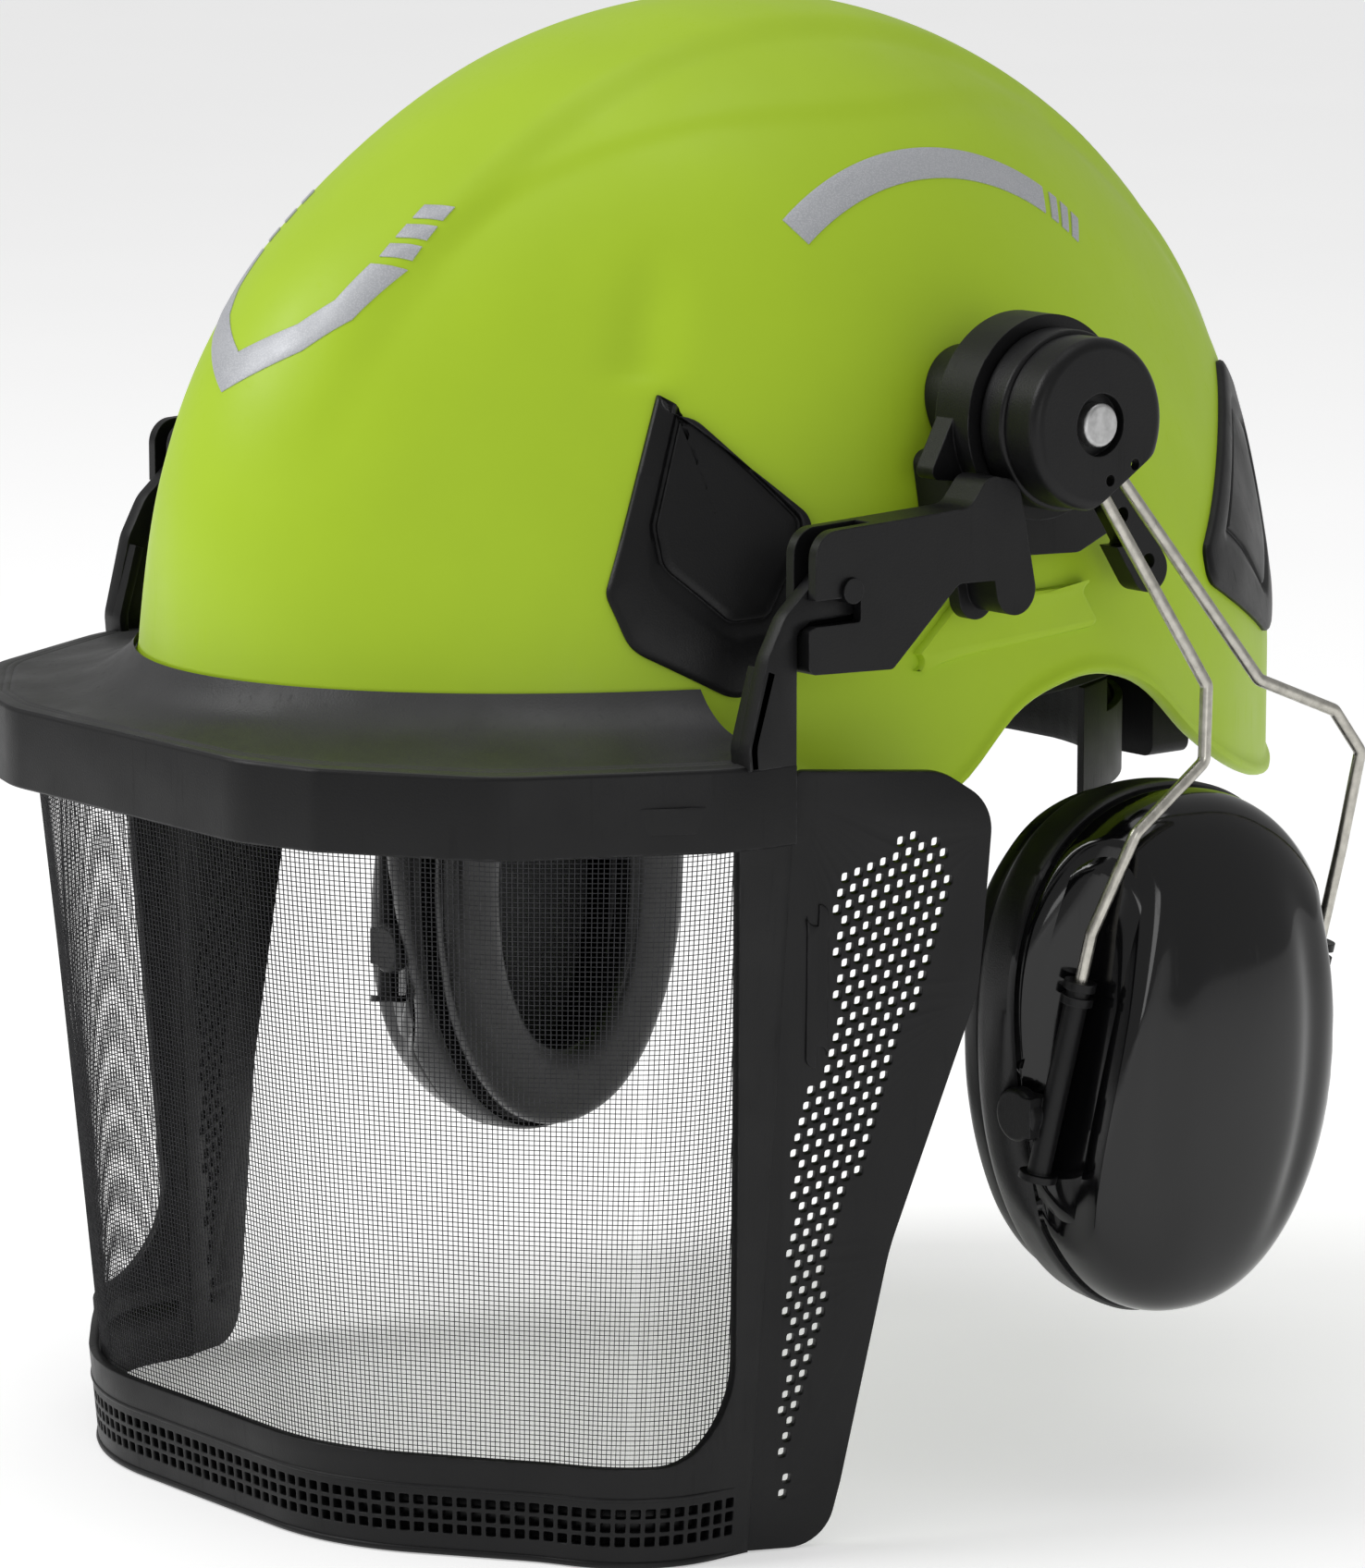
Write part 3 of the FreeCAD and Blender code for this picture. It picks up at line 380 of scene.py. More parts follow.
def make_socket():
    """Block under the arm, where the muff bracket plugs into the shell."""
    outline = [(-34, -57, 2), (-14, -41, 2), (27, -41, 2), (27, -51, 2), (-12, -54, 4)]
    return side_prism("bracket_socket_left", outline, 97, 104.5, 1.0)


# ---------------------------------------------------------------- vents and reflective film
def points_along(line, count, steps):
    """The first count points of a line that is divided evenly into so many steps."""
    lengths = [0.0]
    for a, b in zip(line, line[1:]):
        lengths.append(lengths[-1] + (b - a).length)
    result = []
    k = 0
    for i in range(count):
        at = lengths[-1] * i / steps
        while k < len(line) - 2 and lengths[k + 1] < at:
            k += 1
        t = (at - lengths[k]) / max(1e-9, lengths[k + 1] - lengths[k])
        result.append(line[k].lerp(line[k + 1], t))
    return result


def even_points(loop, count):
    """Evenly spaced points round a closed loop, starting at its first point."""
    return points_along([Vector(p) for p in [*loop, loop[0]]], count, count)


def open_points(line, count):
    """Evenly spaced points along an open line, with both its ends."""
    return points_along([Vector(p) for p in line], count, count - 1)


def vent_cover(name, outer, inner):
    """Vent cover: lip, bevelled channel and grained middle panel."""
    count = 220
    far = even_points(rounded(outer), count)
    near_loop = rounded(inner)
    near = []
    for p in far:
        near.append(min(even_points(near_loop, 660), key=lambda q: (q - p).length))
    near = smooth_ring(near, 3)
    centre = sum(near, Vector((0, 0))) / count
    profile = [(0, -0.6), (0, 0.9), (0.05, 1.5), (0.13, 1.8), (0.72, 1.8), (0.84, 1.6), (1.0, 0.4)]
    rows = []
    for share, grow in profile:
        rows.append([(p.lerp(q, share), grow) for p, q in zip(far, near)])
    for shrink, grow in [(0.965, 0.4), (0.945, 1.1)] + [(share, 1.3) for share in (0.92, 0.8, 0.6, 0.4, 0.2)]:
        rows.append([(centre.lerp(q, shrink), grow) for q in near])
    points = [[on_side(p.x, p.y, grow) for p, grow in row] for row in rows]
    vertices = [p for row in points for p in row]
    faces = grid_faces(len(points), count, True)
    faces.append(tuple(range(len(vertices) - count, len(vertices))))
    return sharpen(make_object(name, vertices, faces), 32)


def smooth_ring(points, passes):
    """Relax a closed ring of points."""
    for _ in range(passes):
        count = len(points)
        points = [(points[i - 1] + points[i] * 2 + points[(i + 1) % count]) / 4 for i in range(count)]
    return points


FRONT_VENT = [(-69.5, 10, 3), (-47, -21, 5), (-46, -48, 6), (-69, -60, 7), (-89.5, -48, 7), (-92, -36, 5)]
FRONT_CHANNEL = [(-66.5, 6, 1.5), (-49, -21.5, 2), (-50.5, -29, 3), (-60, -43, 4), (-68.5, -43.5, 3),
                 (-80, -31, 5), (-79.5, -22, 5)]
REAR_VENT = [(122, -2, 4), (76, -40, 4), (76, -47.5, 5), (114, -66, 6), (134, -48, 6), (137, -14, 6)]
REAR_CHANNEL = [(119, -12, 3), (87, -40, 3), (112, -55, 3), (127, -44, 4), (130, -20, 4)]


def film(name, strokes, place, grow=0.3):
    """Reflective film: one thin patch for each stroke, given as two matching edge lines."""
    vertices = []
    faces = []
    for near, far in strokes:
        columns = len(near)
        base = len(vertices)
        layers = ((0.0, -0.1), (0.0, grow * 0.7), (0.04, grow), (0.35, grow), (0.65, grow), (0.96, grow),
                  (1.0, grow * 0.7), (1.0, -0.1))
        for share, height in layers:
            for a, b in zip(near, far):
                spot = Vector(a).lerp(Vector(b), share)
                vertices.append(place(spot.x, spot.y, height))
        rows = len(layers)
        faces += [tuple(base + k for k in quad) for quad in grid_faces(rows, columns, False)]
        for edge in (0, columns - 1):
            faces.append(tuple(base + r * columns + edge for r in range(rows)))
    return sharpen(make_object(name, vertices, faces), 50)


def divided(start, end, steps):
    """Evenly spaced points from start to end."""
    return [Vector(start).lerp(Vector(end), i / steps) for i in range(steps + 1)]


def bent_line(corners):
    """Closely spaced points along a line of straight runs."""
    points = [Vector(corners[0])]
    for a, b in zip(corners, corners[1:]):
        points += divided(a, b, 10)[1:]
    return points


def chevron_strokes():
    """V of two strokes with three short dashes above each arm, in the front view."""
    strokes = []
    for side in (1, -1):
        outer = bent_line([(0, 5), (side * 17, 14.5), (side * 23.5, 21), (side * 26.5, 31.5)])
        inner = bent_line([(0, 13.2), (side * 13, 19.5), (side * 18.2, 24.5), (side * 20.2, 31.8)])
        strokes.append((outer, inner))
        for step in range(3):
            z = 34.6 + 3.9 * step
            strokes.append((divided((side * 20.9, z - 1.35), (side * 26.3, z - 1.35), 8),
                            divided((side * 20.9, z + 1.35), (side * 26.3, z + 1.35), 8)))
    return strokes


def arc_strokes():
    """Curved stripe with three thin dashes at its rear end, in the side view."""
    strokes = []
    for low, high, steps in ((58.5, 125, 60), (54.6, 56.6, 3), (51.4, 53.4, 3), (48.2, 50.2, 3)):
        angles = [math.radians(low + (high - low) * i / steps) for i in range(steps + 1)]
        strokes.append(tuple([Vector((8.7 + r * math.cos(a), -18.9 + r * math.sin(a))) for a in angles]
                             for r in (74.5, 68.0)))
    return strokes


# ---------------------------------------------------------------- brim
def rim_plan():
    """Plan line of the rim's outer face, from the right rear end round the front to the left."""
    left = [(44, -170.5, 30), (64, -164, 8), (98, -140.5, 30), (122.8, -92, 40), (122.8, -77.5, 0)]
    right = [(-x, y, r) for x, y, r in left[::-1]]
    return rounded(right + left, closed=False, steps=12)


APRON = [(0.0, -68.2), (0.05, -67.9), (0.12, -67.6), (0.30, -67.3), (0.45, -66.8), (0.58, -66.0),
         (0.70, -64.8), (0.80, -63.2), (0.88, -61.2), (0.94, -59.2), (1.0, -56.6)]
RIM_PROFILE = [(2.6, -70.6), (2.6, -86.1), (2.2, -86.5), (0.5, -86.5), (0.05, -86.1), (0.0, -85.6),
               (0.0, -69.2), (0.15, -68.6), (0.6, -68.2)]
RIM_TOP_Z = -68.3
GROOVES = ((4.6, 0.35), (6.6, 0.35))


def make_brim():
    """Brim: upright rim with a facet at each front corner, grooved apron swept up to the shell."""
    count = 320
    outer = open_points(rim_plan(), count)
    thetas = [math.pi - math.radians(32) - math.radians(116) * i / 719 for i in range(720)]
    shell_line = [shell_at(t, -57.5, 1.1) for t in thetas]
    inner = open_points([(p.x, p.y) for p in shell_line], count)
    rows = []
    normals = []
    for i in range(count):
        along = (outer[min(count - 1, i + 1)] - outer[max(0, i - 1)]).normalized()
        normals.append(Vector((-along.y, along.x)))
    for inset, z in RIM_PROFILE:
        rows.append([(*(p + n * inset), z) for p, n in zip(outer, normals)])
    stations = [0.6 + 0.5 * k for k in range(1, 20)] + [10.5 + 1.2 * k for k in range(1, 30)]
    longest = max((q - p).length for p, q in zip(outer, inner))
    for station in stations:
        row = []
        for p, q in zip(outer, inner):
            row.append(apron_point(p, q, station * (q - p).length / longest, station))
        rows.append(row)
    rows.append([apron_point(p, q, (q - p).length, 99) for p, q in zip(outer, inner)])
    under = [(0.97, -2.6), (0.8, -2.5), (0.6, -2.5), (0.4, -2.5), (0.2, -2.5)]
    for share, drop in under:
        row = []
        for p, q in zip(outer, inner):
            x, y, z = apron_point(p, q, share * (q - p).length, 99)
            row.append((x, y, z + drop))
        rows.append(row)
    obj = skin("brim_body", rows, ring=False, tube=True)
    close_ends(obj)
    return sharpen(obj, 38)


def apron_point(p, q, reach, station):
    """Point of the apron at a distance in from the rim, with the two fine grooves beside the rim."""
    span = (q - p).length
    share = min(1.0, reach / span)
    z = curve_value(APRON, share)
    for at, depth in GROOVES:
        z -= depth * math.exp(-((station - at) / 0.45) ** 2)
    spot = p.lerp(q, share)
    return (spot.x, spot.y, z)


def close_ends(obj):
    """Fill the open end loops of a mesh."""
    bm = bmesh.new()
    bm.from_mesh(obj.data)
    bmesh.ops.holes_fill(bm, edges=[e for e in bm.edges if e.is_boundary], sides=0)
    bmesh.ops.recalc_face_normals(bm, faces=bm.faces)
    bm.to_mesh(obj.data)
    bm.free()


def split_brim_painted_light_and_shade(obj, material):
    """Second, darker material for the upright rim below the apron. This is painted shade against the lighter
    grey of the apron, which is painted light on the same black plastic.
    """
    obj.data.materials.append(material)
    for face in obj.data.polygons:
        if face.center.z < RIM_TOP_Z * MM:
            face.material_index = 1


def make_upright():
    """Flat upright beside the hinge, with the thin flange along its front edge."""
    outline = [(-90.5, -69, 0), (-91, -64, 8), (-86, -45, 10), (-81, -36, 10), (-71, -27.5, 4),
               (-65, -26.2, 3), (-60, -27, 4), (-60, -37.4, 3), (-74, -38, 1.5), (-77.6, -40, 2),
               (-77.6, -69, 0)]
    web = side_prism("upright_left", outline, 118.9, 123.1, 0.5, 10)
    front = [(-90.6, -69, 0), (-91, -64, 8), (-86, -47, 0), (-83.4, -48, 0), (-88.4, -64, 8), (-88, -69, 0)]
    lip = side_prism("upright_lip_left", front, 116.2, 123.1, 0.5, 10)
    return web, lip


# ---------------------------------------------------------------- visor
def fold_point(depth):
    """Point on the left fold line of the visor, depth below its top."""
    return Vector((120 - 0.0643 * depth, -75 - 0.023 * depth, -71 - depth))


def visor_line(z):
    """Plan line of the visor's outer face at one height, from the right fold to the left fold."""
    fold = fold_point(-71 - z)
    down = (RIM_BOTTOM_Z - z) / (RIM_BOTTOM_Z - VISOR_BOTTOM_Z)
    front = -163.5 + 14.5 * down
    left = [(46, front, 60), (94 - 9 * down, front + 29, 45), (fold.x, fold.y - 28, 30), (fold.x, fold.y, 0)]
    right = [(-x, y, r) for x, y, r in left[::-1]]
    return open_points(rounded(right + left, closed=False, steps=14), 601)


VISOR_LOW = visor_line(VISOR_BOTTOM_Z)
VISOR_HIGH = visor_line(VISOR_TOP_Z)
VISOR_SPAN = sum((b - a).length for a, b in zip(VISOR_LOW, VISOR_LOW[1:]))


def visor_point(s, z, inset):
    """Point of the visor's sheet: s is the distance from the middle, measured along the lower edge."""
    place = (s / VISOR_SPAN + 0.5) * 600
    k = max(0, min(599, int(place)))
    t = place - k
    share = (z - VISOR_BOTTOM_Z) / (VISOR_TOP_Z - VISOR_BOTTOM_Z)
    a = VISOR_LOW[k].lerp(VISOR_HIGH[k], share)
    b = VISOR_LOW[k + 1].lerp(VISOR_HIGH[k + 1], share)
    along = (b - a).normalized()
    spot = a.lerp(b, t) + Vector((-along.y, along.x)) * inset
    return Vector((spot.x, spot.y, z))


def window_side(z, y):
    """Distance along the sheet at which its side view reaches y."""
    return solve(lambda s: visor_point(s, z, 0).y - y, 100, VISOR_SPAN / 2)


def little_square(a, b, half_a, half_b, corner):
    """Rounded square hole."""
    return rounded([(a - half_a, b - half_b, corner), (a + half_a, b - half_b, corner),
                    (a + half_a, b + half_b, corner), (a - half_a, b + half_b, corner)], steps=2)


def make_visor_frame():
    """Curved front of the visor: rounded window and three rows of small square holes below it."""
    half = VISOR_SPAN / 2
    low, high = VISOR_BOTTOM_Z, VISOR_TOP_Z
    outline = [(-half, low, 0), (half, low, 0), (half, high, 0), (-half, high, 0)]
    right_side = [(window_side(-82, -90.5), -82, 0), (window_side(-214, -84.5), -214, 22),
                  (window_side(-227, -94) - 4, -225.4, 16)]
    window = right_side + [(-a, b, r) for a, b, r in right_side[::-1]]
    loops = [divided((-half, low), (half, low), 2)[:-1] + rounded(outline, steps=1)[1:],
             rounded(window, steps=8)]
    columns = int((half - 6) / 3.3)
    for row_z in (-235.8, -239.0, -242.2):
        for c in range(-columns, columns + 1):
            loops.append(little_square(c * 3.3, row_z, 1.15, 1.1, 0.3))
    cuts = [-half + (2 * half) * i / 150 for i in range(1, 150)]

    def place(s, z, height):
        return visor_point(s, z, VISOR_WALL / 2 - height)

    return plate("visor_front", loops, VISOR_WALL, 0.18, place, cuts)


def make_band_backing():
    """Closed back of the three rows of small square holes."""
    rows = []
    near, far = VISOR_WALL + 0.05, VISOR_WALL + 0.6
    for z, inset in ((-233.8, near), (-244.2, near), (-244.2, far), (-233.8, far)):
        rows.append([visor_point((VISOR_SPAN - 8) * (k / 300 - 0.5), z, inset) for k in range(301)])
    obj = skin("band_backing", rows, ring=False, tube=True)
    close_ends(obj)
    return obj


def visor_bead(name, z, radius, span, proud):
    """Thin bead across the visor's outer face."""
    rows = []
    for i in range(241):
        s = span * (i / 120 - 1)
        taper = radius * min(1.0, 0.15 + 12 * (1 - abs(i / 120 - 1)))
        rows.append([visor_point(s, z + taper * math.sin(a), -proud * taper * math.cos(a) + 0.1)
                     for a in [2 * math.pi * k / 8 for k in range(8)]])
    obj = skin(name, rows)
    close_ends(obj)
    return obj


WING_BACK = Vector((math.sin(math.radians(20)), math.cos(math.radians(20)), 0))
WING_DOWN = (fold_point(100) - fold_point(0)).normalized()
WING_NORMAL = WING_BACK.cross(WING_DOWN).normalized()
WING_OUT = WING_NORMAL if WING_NORMAL.x > 0 else -WING_NORMAL
HOLE_FIELD = [(10.7, 23.5), (27.4, 16.1), (33, 15.4), (37.8, 20.5), (37.2, 33.4), (34.4, 46.8), (30.6, 57.1),
              (25.2, 73.5), (20.8, 90.1), (16.4, 104.6), (11.6, 140.5), (7.5, 166), (6.2, 166), (5.6, 140),
              (5.3, 104), (4.6, 75), (11.6, 69.4), (12.2, 47.4)]


def wing_point(u, v, height):
    """Point of the left wing: u behind the fold, v down along it, height outwards from its middle."""
    return fold_point(0) + WING_BACK * u + WING_DOWN * v + WING_OUT * (height - VISOR_WALL / 2)


def inside(loop, a, b):
    """Whether a plane point lies inside a loop."""
    within = False
    for i, (x1, y1) in enumerate(loop):
        x0, y0 = loop[i - 1]
        if (y1 > b) != (y0 > b) and a < (x0 - x1) * (b - y1) / (y0 - y1) + x1:
            within = not within
    return within


def make_wing():
    """Flat flared wing with its field of small rounded holes."""
    outline = [(-1.2, 5.5, 0), (-1.2, 2, 0), (1, 0, 2), (34, 2, 14), (46.5, 10, 12), (46, 52, 20),
               (29, 110, 60), (21, 163, 30), (18, 178, 10), (-1.2, 177.6, 0)]
    loops = [rounded(outline, steps=10)]
    for i in range(-30, 30):
        for j in range(-10, 60):
            u = 12.9 + 2.93 * i - 0.76 * j
            v = 24.5 - 0.95 * i + 3.55 * j
            if inside(HOLE_FIELD, u, v):
                loops.append(little_square(u, v, 0.98, 1.12, 0.55))
    wing = plate("visor_wing_left", loops, VISOR_WALL, 0.18, wing_point)
    strip_loop = rounded([(4.2, 30, 2.4), (9.2, 30, 2.4), (11.2, 67, 2.4), (6.2, 67, 2.4)])
    strip = plate("wing_strip_left", [strip_loop],
                  1.0, 0.4, lambda a, b, h: wing_point(a, b, h + VISOR_WALL / 2 + 0.1))
    return wing, strip


def make_visor_mesh():
    """Woven wire: upright wires and cross wires in two touching layers behind the window."""
    vertices = []
    faces = []
    top, bottom = -77.5, -230.0
    half_wire = MESH_WIRE / 2
    half = VISOR_SPAN / 2 - 3.2
    layer = VISOR_WALL + 0.35
    count = int(2 * half / MESH_PITCH)
    for i in range(count + 1):
        s = -half + i * MESH_PITCH
        drift = 0.04 * noise.noise(Vector((i * 0.7, 3.1, 0)))
        for z in (bottom, top):
            for ds, dn in ((-1, -1), (1, -1), (1, 1), (-1, 1)):
                vertices.append(visor_point(s + drift + ds * half_wire, z, layer + dn * half_wire))
        base = i * 8
        faces += [(base + a, base + (a + 1) % 4, base + 4 + (a + 1) % 4, base + 4 + a) for a in range(4)]
        faces += [(base + 3, base + 2, base + 1, base), (base + 4, base + 5, base + 6, base + 7)]
    stops = 300
    for j in range(int((top - bottom) / MESH_PITCH)):
        z = bottom + 0.6 + j * MESH_PITCH + 0.04 * noise.noise(Vector((5.3, j * 0.7, 0)))
        base = len(vertices)
        for k in range(stops + 1):
            s = half * (2 * k / stops - 1)
            for dz, dn in ((-1, -1), (1, -1), (1, 1), (-1, 1)):
                vertices.append(visor_point(s, z + dz * half_wire, layer + MESH_WIRE * 0.8 + dn * half_wire))
        for k in range(stops):
            a = base + 4 * k
            faces += [(a + c, a + (c + 1) % 4, a + 4 + (c + 1) % 4, a + 4 + c) for c in range(4)]
        faces += [(base + 3, base + 2, base + 1, base), tuple(base + 4 * stops + c for c in range(4))]
    mesh = bpy.data.meshes.new("woven_mesh")
    mesh.from_pydata([v * MM for v in vertices], [], faces)
    obj = bpy.data.objects.new("woven_mesh", mesh)
    bpy.context.scene.collection.objects.link(obj)
    return obj


# ---------------------------------------------------------------- ear cup
def cup_point(turn, x, scale_y, scale_z):
    """Point of the cup's egg-shaped ring at one depth."""
    taper = 1 + 0.10 * math.sin(turn)
    cos_t = math.copysign(abs(math.cos(turn)) ** 0.9, math.cos(turn))
    sin_t = math.copysign(abs(math.sin(turn)) ** 0.9, math.sin(turn))
    y = CUP_HALF_WIDTH * scale_y * taper * cos_t
    z = CUP_HALF_HEIGHT * scale_z * sin_t
    angle = math.radians(CUP_YAW)
    dx = x - CUP_CENTRE.x
    return Vector((CUP_CENTRE.x + dx * math.cos(angle) - y * math.sin(angle),
                   CUP_CENTRE.y + dx * math.sin(angle) + y * math.cos(angle), CUP_CENTRE.z + z))


def fluted(p, extra):
    """Cup point pushed in where a sleeve lies, as a smooth flute along the sleeve."""
    for centre in SLEEVE_AT:
        outward = -1 if centre.y < CUP_CENTRE.y else 1
        away = Vector((0.55, outward, 0)).normalized()
        rel = p - centre
        rel -= SLIDE * rel.dot(SLIDE)
        across = away.cross(SLIDE).normalized()
        lateral = rel.dot(across)
        proud = rel.dot(away) + 6.4
        width = 16.0
        if abs(lateral) < width and proud > -3:
            share = math.cos(math.pi * lateral / (2 * width)) ** 1.2
            p = p - away * max(0.0, proud + extra) * share
    return p


def soft_flutes(p, share):
    """Two shallow upright flutes on the dome beside its face panel."""
    height = (p.z - CUP_CENTRE.z) / CUP_HALF_HEIGHT
    fade = smoothstep((0.80 - abs(height + 0.05)) / 0.45) * smoothstep(share * 3)
    depth = 0.0
    for offset, width, amount in ((-22.0, 4.6, 1.7), (-31.0, 5.5, 1.2), (23.0, 4.6, 1.7)):
        line = CUP_CENTRE.y + offset * math.sqrt(max(0.05, 1 - height ** 2)) + 3.0 * height
        depth += amount * math.exp(-((p.y - line) / width) ** 2)
    return p - Vector((0.85, 0, 0)) * depth * fade


def make_cup_shell():
    """Glossy dome with sleeve flutes and two shallow flutes beside the face panel."""
    turns = 220
    rows = []
    steps = 64
    for inner in (False, True):
        part = []
        for k in range(steps + 1):
            angle = (math.pi / 2) * (1 - (1 - k / steps) ** 1.25) * 0.985
            depth = math.sin(angle) ** (2 / 2.9)
            scale = math.cos(angle)
            wall = 2.2 if inner else 0.0
            x = 121 + (29 - wall) * depth
            row = []
            for i in range(turns):
                turn = 2 * math.pi * i / turns
                p = cup_point(turn, x, scale * (0.97 - wall / 44), scale * (0.985 - wall / 61))
                row.append(fluted(soft_flutes(p, depth), -wall))
            part.append(row)
        rows += part[::-1] if not inner else part
    return capped("cup_dome_left", rows)


def make_cup_back():
    """Satin back shell between the dome and the cushion."""
    turns = 220
    outer = [(109.5, 0.93, 0.95), (108.4, 0.945, 0.962), (108.0, 0.955, 0.97), (108.6, 0.968, 0.98),
             (110, 0.98, 0.988), (112, 0.988, 0.993), (115, 0.993, 0.997), (118, 0.995, 1.0),
             (120.2, 0.995, 1.0), (120.9, 0.985, 0.99),
             (120.9, 0.93, 0.945), (118, 0.90, 0.93), (113, 0.64, 0.72), (109.5, 0.62, 0.70)]
    rows = []
    for station in outer:
        rows.append([fluted(cup_point(2 * math.pi * i / turns, *station), 0.3) for i in range(turns)])
    return sharpen(skin("cup_back_shell_left", rows, tube=True), 45)


def make_ear_cushion():
    """Soft sealing ring: a full section with a seam line and faint wrinkles."""
    turns, around = 180, 40
    rows = []
    for k in range(around):
        angle = 2 * math.pi * k / around
        cos_a = math.copysign(abs(math.cos(angle)) ** 0.7, math.cos(angle))
        sin_a = math.copysign(abs(math.sin(angle)) ** 0.75, math.sin(angle))
        row = []
        for i in range(turns):
            turn = 2 * math.pi * i / turns
            x = 103.0 - 4.95 * sin_a
            seam = 1 - 0.012 * math.exp(-((x - 106.3) / 0.5) ** 2)
            wave = 0.004 * noise.noise(Vector((math.cos(turn) * 4, math.sin(turn) * 4, angle)))
            scale_y = (0.71 + 0.215 * cos_a) * seam + wave
            scale_z = (0.78 + 0.165 * cos_a) * seam + wave
            row.append(cup_point(turn, x, scale_y, scale_z))
        rows.append(row)
    return skin("cushion_ring_left", rows, tube=True)


def make_cup_foam():
    """Foam disc in the bottom of the cup, with rounded edges."""
    turns = 120
    stations = [(128.6, 0.30, 0.38), (128.9, 0.56, 0.72), (128.6, 0.61, 0.77), (127, 0.625, 0.785),
                (124.5, 0.635, 0.795), (123.0, 0.625, 0.785), (122.5, 0.59, 0.75), (123.4, 0.32, 0.40)]
    rows = [[cup_point(2 * math.pi * i / turns, *station) for i in range(turns)] for station in stations]
    return capped("foam_disc_left", rows)


# ---------------------------------------------------------------- harness
def band_pad(name, half_x, half_y, thickness, z_low, z_high, start, end):
    """Puffed pad along part of an elliptical band, with a sewn channel along its middle."""
    rows = []
    middle = (z_low + z_high) / 2
    half = (z_high - z_low) / 2
    for i in range(121):
        t = math.radians(start + (end - start) * i / 120)
        tip = min(1.0, math.sqrt(max(0.0, 1 - (abs(i / 60 - 1) ** 14))) + 0.05)
        row = []
        for k in range(28):
            a = 2 * math.pi * k / 28
            up = math.copysign(abs(math.sin(a)) ** 0.6, math.sin(a)) * half * (0.6 + 0.4 * tip)
            bulge = math.copysign(abs(math.cos(a)) ** 0.8, math.cos(a))
            channel = 1 - 0.35 * math.exp(-((up / half) / 0.12) ** 2) if bulge < 0 else 1.0
            quilt = 1 + 0.04 * math.sin(i * 1.05)
            off = thickness / 2 * (1 + bulge * channel * tip * quilt * 0.98)
            row.append(((half_x + off) * math.cos(t), (half_y + off) * math.sin(t), middle + up))
        rows.append(row)
    obj = skin(name, rows)
    close_ends(obj)
    return obj


def make_straps():
    """Three webbing straps over the head, with raised selvedges and a stitched crossing at the crown."""
    vertices = []
    faces = []
    half_x, half_y, height, base_z = 83.8, 106.8, 100.0, -50.0
    for order, degrees in enumerate((30, 90, 150)):
        turn = math.radians(degrees)
        reach = 1 / math.hypot(math.cos(turn) / half_x, math.sin(turn) / half_y)
        base = len(vertices)
        section = [(-9.5, 0.5), (-9.2, 0.95), (-8.2, 1.0), (-7.6, 0.85), (-3, 0.85), (3, 0.85), (7.6, 0.85),
                   (8.2, 1.0), (9.2, 0.95), (9.5, 0.5), (9.2, 0.05), (3, 0.0), (-3, 0.0), (-9.2, 0.05)]
        for i in range(161):
            phi = math.pi * (0.03 + 0.94 * i / 160)
            for w, high in section:
                sunk = 1.3 - 0.25 * order - 1.2 * high
                q = (reach - sunk) * math.cos(phi)
                x = q * math.cos(turn) - w * math.sin(turn)
                y = q * math.sin(turn) + w * math.cos(turn)
                z = base_z + (height - sunk) * math.sqrt(max(0.0, 1 - (x / half_x) ** 2 - (y / half_y) ** 2))
                vertices.append((x, y, z))
        size = len(section)
        faces += [tuple(base + k for k in quad) for quad in grid_faces(161, size, True)]
        faces += [tuple(base + k for k in range(size)), tuple(base + 160 * size + k for k in range(size))]
    return sharpen(make_object("crown_webbing", vertices, faces), 50)


def make_stitches():
    """Box of stitches where the straps cross."""
    vertices = []
    faces = []
    for ring in (5.5, 7.5):
        for i in range(int(ring * 6)):
            turn = 2 * math.pi * i / int(ring * 6)
            centre = Vector((ring * math.cos(turn), ring * math.sin(turn), 50.25 - 0.004 * ring ** 2))
            along = Vector((-math.sin(turn), math.cos(turn), 0))
            across = Vector((math.cos(turn), math.sin(turn), 0))
            base = len(vertices)
            for share, radius in ((-0.38, 0.05), (-0.2, 0.17), (0.2, 0.17), (0.38, 0.05)):
                for k in range(6):
                    a = 2 * math.pi * k / 6
                    vertices.append(centre + along * share + across * radius * math.cos(a)
                                    + Vector((0, 0, radius * math.sin(a))))
            faces += [tuple(base + k for k in quad) for quad in grid_faces(4, 6, True)]
            faces += [tuple(base + k for k in range(6)), tuple(base + 18 + k for k in range(6))]
    return make_object("crown_stitches", vertices, faces)


